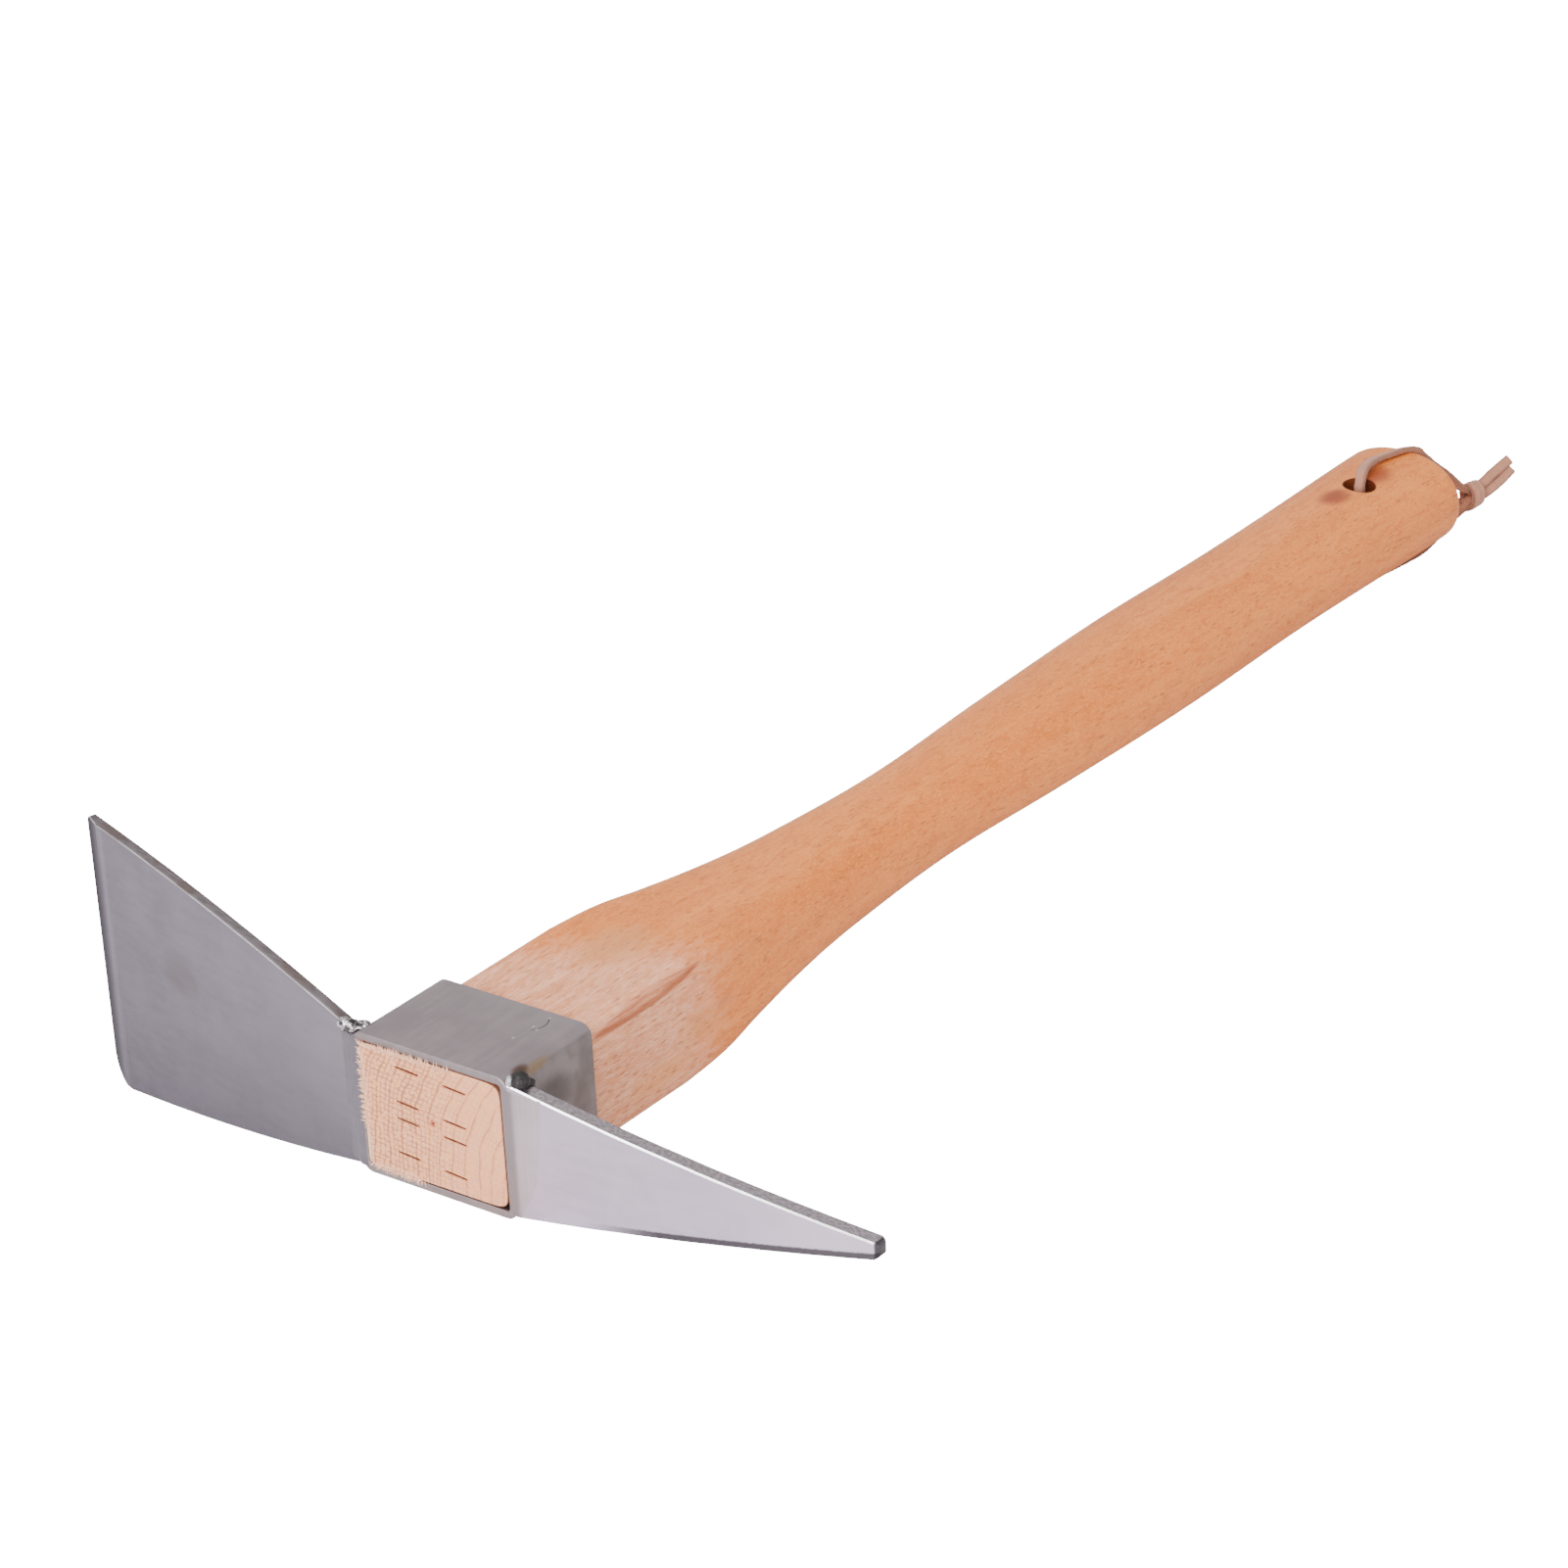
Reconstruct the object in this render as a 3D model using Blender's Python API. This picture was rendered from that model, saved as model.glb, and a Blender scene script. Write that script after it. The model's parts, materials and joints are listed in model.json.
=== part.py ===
"""Hand mattock: a welded steel head on a beech handle, with a leather hanging thong.

The pieces are modelled in the tool's own frame, in metres, and the whole tool is then laid
on the ground. X runs along the head, with the hoe blade at -X and the pick at +X. Y runs
from the front of the head to the butt of the handle. Z runs across the blade, along the
hang hole. The tool frame's origin is the middle of the handle's front end.
"""
import math

import bmesh
import bpy
from mathutils import Matrix, Vector

# Handle
HANDLE_LENGTH = 0.4255
TENON = (0.0400, 0.0310)            # width and height of the squared end in the socket
WAIST = (0.0304, 0.0232)            # width and height of the oval at its thinnest
GRIP = (0.0362, 0.0274)
NECK = (0.0354, 0.0266)
BUTT = (0.0380, 0.0278)
SQUARED_LENGTH = 0.066              # the stretch of the handle that keeps its square section
BUTT_ROUNDING = 0.0025
HANG_HOLE_RADIUS = 0.0045
HANG_HOLE_FROM_BUTT = 0.030
HANG_HOLE_OFFSET = 0.0032           # off the handle's middle line, towards the pick

# Marks that the copying lathe's driver leaves in the end grain
DRIVER_SLIT = (0.0080, 0.0006)      # length and width of one slit
DRIVER_SLIT_COLUMN = 0.0066
DRIVER_SLIT_ROWS = (0.0106, 0.0021)
DRIVER_POINT_RADIUS = 0.0005
DRIVER_MARK_DEPTH = 0.0010

# Head
SOCKET_WALL = 0.0020
SOCKET_DEPTH = 0.0300
SOCKET_CORNER = 0.0030
BLADE_THICKNESS = 0.0030
BLADE_LENGTH = 0.1038
BLADE_ROOT_HALF = 0.0168
BLADE_EDGE_HALF = 0.0357
BLADE_BULGE = 0.0016                # how far its long edges bow outwards
BLADE_SWEEP = math.radians(12.4)    # how far it leans back towards the handle
BLADE_SETBACK = 0.0010              # its face lies this far behind the socket's front
BLADE_UPPER_CORNER = 0.0015
BLADE_LOWER_CORNER = 0.0078
BLADE_BEVEL = 0.0055
BLADE_EDGE_THICKNESS = 0.0018
PICK_THICKNESS = 0.0040
PICK_TIP_AT = 0.1150
PICK_ROOT_HALF = 0.0166
PICK_TIP_HALF = 0.0020
PICK_SWEEP = 0.0073                 # how far its tip curves back towards the handle
PICK_TIP_ROUNDING = 0.0016

# Welds
BLADE_GROOVE = 0.0030               # width of the weld groove at the front face
PICK_GROOVE = 0.0058
GROOVE_ROOT = 0.0006                # width of a groove at the back face
BACK_FILLET_LEG = 0.0040
BEAD_RADIUS = 0.0026

# Thong: its loop runs from the knot over the butt, down the hang hole and back under the butt
THONG_RADIUS = 0.0012
THONG_STEP = 0.0030
LOOP_ROUTE_MM = (                   # from the middle of the hang hole
    (8.5, 42.2, -0.5), (5.6, 38.4, 4.4), (3.2, 35.3, 8.6), (1.4, 32.8, 12.2), (0.2, 30.2, 15.0),
    (-1.2, 26.0, 16.6), (-3.0, 20.0, 17.4), (-3.3, 13.0, 17.7), (-2.0, 6.4, 17.2),
    (-0.5, 1.8, 15.4), (0.0, 0.1, 11.0), (0.0, 0.0, 0.0), (0.0, 0.0, -9.6),
    (0.1, 1.3, -13.4), (0.6, 5.0, -15.6), (1.6, 12.0, -15.8), (2.6, 20.0, -15.8),
    (3.5, 27.4, -15.6), (4.5, 32.4, -13.9), (5.8, 36.6, -10.8), (8.4, 42.3, -7.1),
)
KNOT_CENTRE_MM = (10.5, 45.0, -3.6)
KNOT_RADII_MM = (3.6, 3.8, 4.6)
TAIL_ROUTES_MM = (
    ((10.9, 48.8, -1.9), (12.0, 54.4, 0.4), (13.6, 60.6, 2.1)),
    ((11.8, 48.9, -4.9), (13.3, 54.6, -4.4), (13.2, 59.6, -3.2)),
)

# Clearance between neighbours, and how finely round shapes are divided
GAP = 0.0003
RING_POINTS = 64
SHAFT_STEPS = 26
CORNER_STEPS = 6
PLATE_STEPS = 10

# How the handle changes along its shaft, from the end of its squared stretch to the butt:
# share of the shaft, section it leaves, section it nears, how near it is, squareness
SHAFT_SHAPE = (
    (0.000, TENON, WAIST, 0.00, 14.0),
    (0.040, TENON, WAIST, 0.08, 10.0),
    (0.080, TENON, WAIST, 0.27, 5.5),
    (0.150, TENON, WAIST, 0.62, 3.2),
    (0.235, TENON, WAIST, 0.88, 2.45),
    (0.330, WAIST, GRIP, 0.00, 2.2),
    (0.460, WAIST, GRIP, 0.55, 2.2),
    (0.620, GRIP, NECK, 0.00, 2.2),
    (0.775, NECK, BUTT, 0.00, 2.2),
    (0.970, NECK, BUTT, 1.00, 2.2),
    (1.000, NECK, BUTT, 1.00, 2.2),
)

SOCKET_HALF_WIDTH = TENON[0] / 2 + GAP + SOCKET_WALL
SOCKET_HALF_HEIGHT = TENON[1] / 2 + GAP + SOCKET_WALL
HANG_HOLE_CENTRE = Vector((HANG_HOLE_OFFSET, HANDLE_LENGTH - HANG_HOLE_FROM_BUTT, 0.0))


def clear_scene():
    for old in list(bpy.data.objects):
        bpy.data.objects.remove(old, do_unlink=True)


def make_material(name, colour, roughness, metallic):
    material = bpy.data.materials.new(name)
    material.use_nodes = True
    shader = material.node_tree.nodes["Principled BSDF"]
    shader.inputs["Base Color"].default_value = (*colour, 1.0)
    shader.inputs["Roughness"].default_value = roughness
    shader.inputs["Metallic"].default_value = metallic
    return material


def add_piece(name, bm, material, tool):
    """Turn a bmesh into a named object that hangs on the tool's empty."""
    bmesh.ops.recalc_face_normals(bm, faces=bm.faces)
    mesh = bpy.data.meshes.new(name)
    bm.to_mesh(mesh)
    bm.free()
    piece = bpy.data.objects.new(name, mesh)
    bpy.context.scene.collection.objects.link(piece)
    piece.parent = tool
    if material:
        mesh.materials.append(material)
        mesh.shade_smooth()
        mesh.set_sharp_from_angle(angle=math.radians(35))
    return piece


def cut(piece, cutter):
    cutter.hide_render = True
    cutter.display_type = "WIRE"
    boolean = piece.modifiers.new("cut", "BOOLEAN")
    boolean.operation = "DIFFERENCE"
    boolean.solver = "EXACT"
    boolean.object = cutter


def join_rings(bm, rings):
    """Skin a row of equal rings of vertices and close both ends."""
    for ring, following in zip(rings, rings[1:]):
        count = len(ring)
        for i in range(count):
            j = (i + 1) % count
            bm.faces.new((ring[i], ring[j], following[j], following[i]))
    bm.faces.new(rings[0])
    bm.faces.new(rings[-1])


def extrude_outline(bm, outline, depth):
    """Make a prism from points on one plane, drawn out by the vector depth."""
    near = [bm.verts.new(point) for point in outline]
    far = [bm.verts.new(point + depth) for point in outline]
    join_rings(bm, [near, far])


def arc(centre, radius, start, end, steps):
    """Points on an arc in a plane, with its angles in degrees."""
    angles = [math.radians(start + (end - start) * i / steps) for i in range(steps + 1)]
    return [(centre[0] + radius * math.cos(a), centre[1] + radius * math.sin(a)) for a in angles]


def along_curve(rows, share):
    """Read a smooth value from rows of (share, value) by cubic steps through the rows."""
    for index in range(len(rows) - 1):
        if share <= rows[index + 1][0]:
            break
    x0, x1 = rows[index][0], rows[index + 1][0]
    y0, y1 = rows[index][1], rows[index + 1][1]
    before = rows[max(index - 1, 0)]
    after = rows[min(index + 2, len(rows) - 1)]
    slope0 = (y1 - before[1]) / (x1 - before[0])
    slope1 = (after[1] - y0) / (after[0] - x0)
    t = (share - x0) / (x1 - x0)
    run = x1 - x0
    return (
        (2 * t**3 - 3 * t**2 + 1) * y0
        + (t**3 - 2 * t**2 + t) * run * slope0
        + (3 * t**2 - 2 * t**3) * y1
        + (t**3 - t**2) * run * slope1
    )


def shaft_section(share):
    """Half width, half height and squareness of the handle at a share of its shaft."""
    widths, heights, squareness = [], [], []
    for station, leaving, nearing, nearness, square in SHAFT_SHAPE:
        widths.append((station, (leaving[0] + (nearing[0] - leaving[0]) * nearness) / 2))
        heights.append((station, (leaving[1] + (nearing[1] - leaving[1]) * nearness) / 2))
        squareness.append((station, square))
    return tuple(along_curve(rows, share) for rows in (widths, heights, squareness))


def oval_ring(bm, y, half_width, half_height, squareness):
    """A ring of vertices between an oval (squareness 2) and a rectangle (high squareness)."""
    ring = []
    for i in range(RING_POINTS):
        angle = math.tau * i / RING_POINTS
        across = math.cos(angle)
        upright = math.sin(angle)
        reach = (abs(across) ** squareness + abs(upright) ** squareness) ** (-1 / squareness)
        ring.append(bm.verts.new((half_width * reach * across, y, half_height * reach * upright)))
    return ring


def make_driver_marks(tool):
    """The cutter for eight slits and a point in the handle's front end."""
    bm = bmesh.new()
    length, width = DRIVER_SLIT
    for x in (-DRIVER_SLIT_COLUMN, DRIVER_SLIT_COLUMN):
        for row in DRIVER_SLIT_ROWS:
            for z in (-row, row):
                place = Matrix.Translation((x, 0.0, z))
                size = Matrix.Diagonal((length, 2 * DRIVER_MARK_DEPTH, width, 1.0))
                bmesh.ops.create_cube(bm, size=1.0, matrix=place @ size)
    bmesh.ops.create_cone(
        bm,
        cap_ends=True,
        segments=10,
        radius1=DRIVER_POINT_RADIUS,
        radius2=DRIVER_POINT_RADIUS,
        depth=2 * DRIVER_MARK_DEPTH,
        matrix=Matrix.Rotation(math.radians(90), 4, "X"),
    )
    return add_piece("driver_marks_cutter", bm, None, tool)


def make_hang_hole(tool):
    bm = bmesh.new()
    bmesh.ops.create_cone(
        bm,
        cap_ends=True,
        segments=32,
        radius1=HANG_HOLE_RADIUS,
        radius2=HANG_HOLE_RADIUS,
        depth=2 * BUTT[1],
        matrix=Matrix.Translation(HANG_HOLE_CENTRE),
    )
    return add_piece("hang_hole_cutter", bm, None, tool)


def make_handle(tool, wood):
    bm = bmesh.new()
    shaft_length = HANDLE_LENGTH - SQUARED_LENGTH
    last_share = 1.0 - BUTT_ROUNDING / shaft_length
    rings = [oval_ring(bm, 0.0, *shaft_section(0.0))]
    for step in range(SHAFT_STEPS + 1):
        share = last_share * step / SHAFT_STEPS
        rings.append(oval_ring(bm, SQUARED_LENGTH + share * shaft_length, *shaft_section(share)))
    half_width, half_height, squareness = shaft_section(1.0)
    for angle in (30, 60, 90):
        inset = BUTT_ROUNDING * (1 - math.cos(math.radians(angle)))
        forward = BUTT_ROUNDING * (1 - math.sin(math.radians(angle)))
        y = HANDLE_LENGTH - forward
        rings.append(oval_ring(bm, y, half_width - inset, half_height - inset, squareness))
    join_rings(bm, rings)
    handle = add_piece("handle", bm, wood, tool)
    cut(handle, make_hang_hole(tool))
    cut(handle, make_driver_marks(tool))


def rounded_rectangle(half_width, half_height, radius):
    points = []
    for sign_x, sign_z, start in ((1, 1, 0), (-1, 1, 90), (-1, -1, 180), (1, -1, 270)):
        centre = (sign_x * (half_width - radius), sign_z * (half_height - radius))
        points += arc(centre, radius, start, start + 90, CORNER_STEPS)
    return points


def make_socket(tool, steel):
    """A rectangular tube around the handle's squared end, with rounded corners."""
    outer = rounded_rectangle(SOCKET_HALF_WIDTH, SOCKET_HALF_HEIGHT, SOCKET_CORNER)
    inner = rounded_rectangle(
        SOCKET_HALF_WIDTH - SOCKET_WALL,
        SOCKET_HALF_HEIGHT - SOCKET_WALL,
        SOCKET_CORNER - SOCKET_WALL,
    )
    bm = bmesh.new()
    rings = []
    for outline, y in ((outer, 0.0), (outer, SOCKET_DEPTH), (inner, SOCKET_DEPTH), (inner, 0.0)):
        rings.append([bm.verts.new((x, y, z)) for x, z in outline])
    count = len(outer)
    for ring, following in zip(rings, rings[1:] + rings[:1]):
        for i in range(count):
            j = (i + 1) % count
            bm.faces.new((ring[i], ring[j], following[j], following[i]))
    add_piece("socket", bm, steel, tool)


def blade_half_height(along):
    share = along / BLADE_LENGTH
    straight = BLADE_ROOT_HALF + (BLADE_EDGE_HALF - BLADE_ROOT_HALF) * share
    return straight + BLADE_BULGE * 4 * share * (1 - share)


def blade_corner(radius, side):
    """The rounded corner between a long edge of the blade and its cutting edge."""
    end = BLADE_LENGTH - radius
    lean = math.degrees(math.atan2(BLADE_EDGE_HALF - blade_half_height(end), radius))
    centre = (end, blade_half_height(end) - radius)
    corner = arc(centre, radius, 90 + lean / 2, 0, CORNER_STEPS)
    return [(x, side * z) for x, z in corner]


def blade_outline():
    """Distance from the root and height of the points around the blade's face."""
    upper = []
    lower = []
    for step in range(PLATE_STEPS + 1):
        share = step / PLATE_STEPS
        upper_at = share * (BLADE_LENGTH - BLADE_UPPER_CORNER)
        lower_at = share * (BLADE_LENGTH - BLADE_LOWER_CORNER)
        upper.append((upper_at, blade_half_height(upper_at)))
        lower.append((lower_at, -blade_half_height(lower_at)))
    upper = upper[:-1] + blade_corner(BLADE_UPPER_CORNER, 1)
    lower = lower[:-1] + blade_corner(BLADE_LOWER_CORNER, -1)
    return upper + lower[::-1]


def blade_place():
    """Where the blade's root sits, and how it turns away from the socket."""
    root = Vector((-SOCKET_HALF_WIDTH - GAP, BLADE_SETBACK, 0.0))
    return Matrix.Translation(root) @ Matrix.Rotation(-BLADE_SWEEP, 4, "Z")


def make_blade(tool, steel):
    bm = bmesh.new()
    front = [bm.verts.new((-x, 0.0, z)) for x, z in blade_outline()]
    back = [bm.verts.new((-x, BLADE_THICKNESS, z)) for x, z in blade_outline()]
    join_rings(bm, [front, back])
    root_clear = BLADE_THICKNESS * math.tan(BLADE_SWEEP)
    for vertex in front + back:
        if vertex.co.x > -GAP:
            vertex.co.x -= BLADE_GROOVE if vertex.co.y < GAP else GROOVE_ROOT + root_clear
    blade = add_piece("blade", bm, steel, tool)
    blade.matrix_local = blade_place()
    cut(blade, make_bevel_cutter(tool))


def make_bevel_cutter(tool):
    """The wedge that grinds the blade's face down to its cutting edge."""
    rise = BLADE_THICKNESS - BLADE_EDGE_THICKNESS
    overrun = 0.5
    start = (-BLADE_LENGTH + BLADE_BEVEL * (1 + overrun), -rise * overrun)
    end = (-BLADE_LENGTH - BLADE_BEVEL * overrun, rise * (1 + overrun))
    ahead = -2 * BLADE_THICKNESS
    reach = 1.5 * BLADE_EDGE_HALF
    corners = (start, end, (end[0], ahead), (start[0], ahead))
    bm = bmesh.new()
    extrude_outline(bm, [Vector((x, y, -reach)) for x, y in corners], Vector((0, 0, 2 * reach)))
    cutter = add_piece("bevel_cutter", bm, None, tool)
    cutter.matrix_local = blade_place()
    return cutter


def pick_face(share):
    """How far back the pick's face has curved at a share of its length."""
    return PICK_SWEEP * share**2


def make_pick(tool, steel):
    """A tapering plate whose root is sheared to leave the weld groove at the front."""
    root = SOCKET_HALF_WIDTH + GAP
    bm = bmesh.new()
    rings = []
    length = PICK_TIP_AT - root
    end_share = 1 - PICK_TIP_ROUNDING / length
    for step in range(PLATE_STEPS + 1):
        share = end_share * step / PLATE_STEPS
        half = PICK_ROOT_HALF + (PICK_TIP_HALF - PICK_ROOT_HALF) * share
        y = pick_face(share)
        front_x = root + share * length
        back_x = front_x
        if step == 0:
            front_x += PICK_GROOVE
            back_x += GROOVE_ROOT
            half_front = half - (PICK_ROOT_HALF - PICK_TIP_HALF) * PICK_GROOVE / length
        else:
            half_front = half
        corners = (
            (front_x, y, half_front), (front_x, y, -half_front),
            (back_x, y + PICK_THICKNESS, -half), (back_x, y + PICK_THICKNESS, half),
        )
        rings.append([bm.verts.new(corner) for corner in corners])
    y = pick_face(1.0)
    blunt = PICK_TIP_ROUNDING / 2
    corners = (
        (PICK_TIP_AT, y + blunt, PICK_TIP_HALF - blunt), (PICK_TIP_AT, y + blunt, blunt - PICK_TIP_HALF),
        (PICK_TIP_AT, y + PICK_THICKNESS - blunt, blunt - PICK_TIP_HALF),
        (PICK_TIP_AT, y + PICK_THICKNESS - blunt, PICK_TIP_HALF - blunt),
    )
    rings.append([bm.verts.new(corner) for corner in corners])
    join_rings(bm, rings)
    add_piece("pick", bm, steel, tool)


def make_weld_prism(name, section, half_height, tool, steel):
    """A straight weld of one section in the X-Y plane, as tall as the seam it fills."""
    bm = bmesh.new()
    outline = [Vector((x, y, -half_height)) for x, y in section]
    extrude_outline(bm, outline, Vector((0.0, 0.0, 2 * half_height)))
    add_piece(name, bm, steel, tool)


def make_seam_welds(tool, steel):
    """The two groove welds that are ground flush with the head's front."""
    wall = SOCKET_HALF_WIDTH + GAP
    pick_height = PICK_ROOT_HALF - 2 * GAP
    pick_section = (
        (wall, 0.0), (wall + PICK_GROOVE - 2 * GAP, pick_face(0)),
        (wall + GROOVE_ROOT, PICK_THICKNESS - 2 * GAP), (wall, PICK_THICKNESS - 2 * GAP),
    )
    make_weld_prism("pick_seam_weld", pick_section, pick_height, tool, steel)
    back = BLADE_SETBACK + BLADE_THICKNESS - 2 * GAP
    blade_section = (
        (-wall, 0.0), (-wall - BLADE_GROOVE + 3 * GAP, BLADE_SETBACK), (-wall - GAP, back), (-wall, back),
    )
    make_weld_prism("blade_seam_weld", blade_section, BLADE_ROOT_HALF - 2 * GAP, tool, steel)


def make_back_welds(tool, steel):
    """The fillet welds in the corners behind the plates, against the socket's walls."""
    wall = SOCKET_HALF_WIDTH + GAP
    height = SOCKET_HALF_HEIGHT - SOCKET_CORNER
    pick_back = PICK_THICKNESS + pick_face(BACK_FILLET_LEG / PICK_TIP_AT) + GAP
    pick_section = (
        (wall, pick_back), (wall + BACK_FILLET_LEG, pick_back), (wall, pick_back + BACK_FILLET_LEG),
    )
    make_weld_prism("pick_back_weld", pick_section, height, tool, steel)
    near = BLADE_SETBACK + BLADE_THICKNESS / math.cos(BLADE_SWEEP) + GAP
    far = near + BACK_FILLET_LEG * math.tan(BLADE_SWEEP)
    blade_section = (
        (-wall, near + GAP), (-wall - BACK_FILLET_LEG, far + GAP), (-wall, near + BACK_FILLET_LEG),
    )
    make_weld_prism("blade_back_weld", blade_section, height, tool, steel)


def make_bead(name, x, base, tool, steel):
    """A bead left proud on the end of a seam: half a ball, flat where it meets the plate."""
    bm = bmesh.new()
    bmesh.ops.create_uvsphere(bm, u_segments=16, v_segments=8, radius=BEAD_RADIUS)
    lower = [vertex for vertex in bm.verts if vertex.co.z < -GAP]
    bmesh.ops.delete(bm, geom=lower, context="VERTS")
    rim = [edge for edge in bm.edges if edge.is_boundary]
    bmesh.ops.contextual_create(bm, geom=rim)
    bead = add_piece(name, bm, steel, tool)
    bead.location = (x, BEAD_RADIUS, base + GAP)


def make_top_welds(tool, steel):
    """Beads on the upper ends of both seams, beside the socket's rounded corners."""
    reach = SOCKET_HALF_WIDTH + GAP + BEAD_RADIUS
    make_bead("pick_top_weld", reach, PICK_ROOT_HALF, tool, steel)
    make_bead("blade_top_weld", -reach, blade_half_height(2 * BEAD_RADIUS), tool, steel)


def smooth_route(points, step):
    """Evenly spaced points on a smooth curve through the given ones."""
    dense = []
    for i in range(len(points) - 1):
        before = points[max(i - 1, 0)]
        after = points[min(i + 2, len(points) - 1)]
        start, end = points[i], points[i + 1]
        for k in range(16):
            t = k / 16
            dense.append(0.5 * (
                2 * start + (end - before) * t
                + (2 * before - 5 * start + 4 * end - after) * t**2
                + (3 * start - before - 3 * end + after) * t**3
            ))
    dense.append(points[-1])
    total = sum((b - a).length for a, b in zip(dense, dense[1:]))
    count = max(2, round(total / step))
    spaced = [dense[0]]
    walked = 0.0
    for a, b in zip(dense, dense[1:]):
        stretch = (b - a).length
        while len(spaced) < count and walked + stretch >= total * len(spaced) / count:
            spaced.append(a.lerp(b, (total * len(spaced) / count - walked) / stretch))
        walked += stretch
    return spaced + [dense[-1]]


def make_strand(name, route_mm, leather, lanyard):
    """A round tube along a route that is given from the middle of the hang hole."""
    curve = bpy.data.curves.new(name, "CURVE")
    curve.dimensions = "3D"
    curve.bevel_depth = THONG_RADIUS
    curve.bevel_resolution = 2
    curve.use_fill_caps = True
    points = smooth_route([Vector(point) * 0.001 for point in route_mm], THONG_STEP)
    spline = curve.splines.new("POLY")
    spline.points.add(len(points) - 1)
    for target, point in zip(spline.points, points):
        target.co = (*point, 1.0)
    curve.materials.append(leather)
    strand = bpy.data.objects.new(name, curve)
    bpy.context.scene.collection.objects.link(strand)
    strand.parent = lanyard


def make_thong(tool, leather):
    """The thong's loop, knot and tails, which swing together about the hang hole."""
    lanyard = bpy.data.objects.new("lanyard_axis", None)
    bpy.context.scene.collection.objects.link(lanyard)
    lanyard.parent = tool
    lanyard.location = HANG_HOLE_CENTRE
    make_strand("thong_loop", LOOP_ROUTE_MM, leather, lanyard)
    for number, route in enumerate(TAIL_ROUTES_MM, start=1):
        make_strand(f"thong_tail_{number}", route, leather, lanyard)
    bm = bmesh.new()
    bmesh.ops.create_uvsphere(bm, u_segments=20, v_segments=12, radius=0.001)
    bmesh.ops.scale(bm, vec=KNOT_RADII_MM, verts=bm.verts)
    knot = add_piece("thong_knot", bm, leather, lanyard)
    knot.location = Vector(KNOT_CENTRE_MM) * 0.001


def piece_points(names):
    """Every vertex of the named pieces, as they stand in the scene."""
    graph = bpy.context.evaluated_depsgraph_get()
    points = []
    for name in names:
        evaluated = bpy.data.objects[name].evaluated_get(graph)
        mesh = evaluated.to_mesh()
        points += [evaluated.matrix_world @ vertex.co for vertex in mesh.vertices]
        evaluated.to_mesh_clear()
    return points


def resting_plane(groups):
    """The upward direction of the ground on which the lowest point of each group rests."""
    up = Vector((0.0, 0.0, 1.0))
    for _ in range(12):
        a, b, c = (min(group, key=up.dot) for group in groups)
        normal = (b - a).cross(c - a).normalized()
        up = normal if normal.z > 0 else -normal
    return up, min(groups[0], key=up.dot)


def lay_down(tool):
    """Rest the tool on its blade, its socket's edge and its butt, over the world's origin."""
    bpy.context.view_layer.update()
    blade = piece_points(["blade"])
    head = piece_points(["socket", "pick", "pick_seam_weld", "blade_seam_weld"])
    rear = [point for point in piece_points(["handle", "thong_loop"]) if point.y > HANDLE_LENGTH / 2]
    up, contact = resting_plane((blade, head, rear))
    forward = (Vector((0.0, 1.0, 0.0)) - up * up.y).normalized()
    turn = Matrix((forward.cross(up), forward, up)).to_4x4()
    laid = [turn @ point for point in blade + head + piece_points(["handle"])]
    middle_x = (min(p.x for p in laid) + max(p.x for p in laid)) / 2
    middle_y = (min(p.y for p in laid) + max(p.y for p in laid)) / 2
    ground = (turn @ contact).z
    tool.matrix_world = Matrix.Translation((-middle_x, -middle_y, -ground)) @ turn


def build():
    clear_scene()
    wood = make_material("beech", (0.70, 0.42, 0.24), 0.55, 0.0)
    steel = make_material("brushed_stainless", (0.50, 0.48, 0.49), 0.38, 1.0)
    weld = make_material("weld_metal", (0.34, 0.33, 0.33), 0.45, 1.0)
    leather = make_material("suede_leather", (0.42, 0.26, 0.19), 0.90, 0.0)
    tool = bpy.data.objects.new("tool_frame", None)
    bpy.context.scene.collection.objects.link(tool)
    make_handle(tool, wood)
    make_socket(tool, steel)
    make_blade(tool, steel)
    make_pick(tool, steel)
    make_seam_welds(tool, weld)
    make_back_welds(tool, weld)
    make_top_welds(tool, weld)
    make_thong(tool, leather)
    lay_down(tool)


build()
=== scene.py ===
import json
import math

import bmesh
import bpy
from mathutils import Matrix, Vector, noise


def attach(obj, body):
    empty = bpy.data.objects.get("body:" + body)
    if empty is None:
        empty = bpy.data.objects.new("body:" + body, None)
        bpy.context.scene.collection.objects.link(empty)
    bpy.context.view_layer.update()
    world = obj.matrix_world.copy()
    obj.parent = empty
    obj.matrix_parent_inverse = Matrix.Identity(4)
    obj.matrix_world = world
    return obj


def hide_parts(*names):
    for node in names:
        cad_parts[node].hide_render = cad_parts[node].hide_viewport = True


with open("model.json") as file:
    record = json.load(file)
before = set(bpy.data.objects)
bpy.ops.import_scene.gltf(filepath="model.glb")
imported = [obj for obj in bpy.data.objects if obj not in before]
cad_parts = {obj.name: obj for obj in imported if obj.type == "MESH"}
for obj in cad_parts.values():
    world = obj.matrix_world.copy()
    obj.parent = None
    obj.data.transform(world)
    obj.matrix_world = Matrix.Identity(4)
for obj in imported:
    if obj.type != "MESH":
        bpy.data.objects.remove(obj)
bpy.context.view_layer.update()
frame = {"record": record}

# ---------------------------------------------------------------- axes and camera
# The mattock lies tipped over on its blade, so every piece is shaped in the tool's own axes and
# then laid down: X along the head from blade to pick, Y from the head's front to the butt, and
# Z across the blade. The flat faces of the socket and of the handle's front give these axes.
faces = {mount["name"]: mount for mount in frame["record"]["mounts"]}
tool_z = Vector(faces["socket_top"]["axis"]).normalized()
tool_y = -Vector(faces["tenon_front_face"]["axis"]).normalized()
tool_x = tool_y.cross(tool_z).normalized()
SOCKET_TOP_BEHIND = 0.0150      # the middle of the socket's top, behind the head's front
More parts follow.
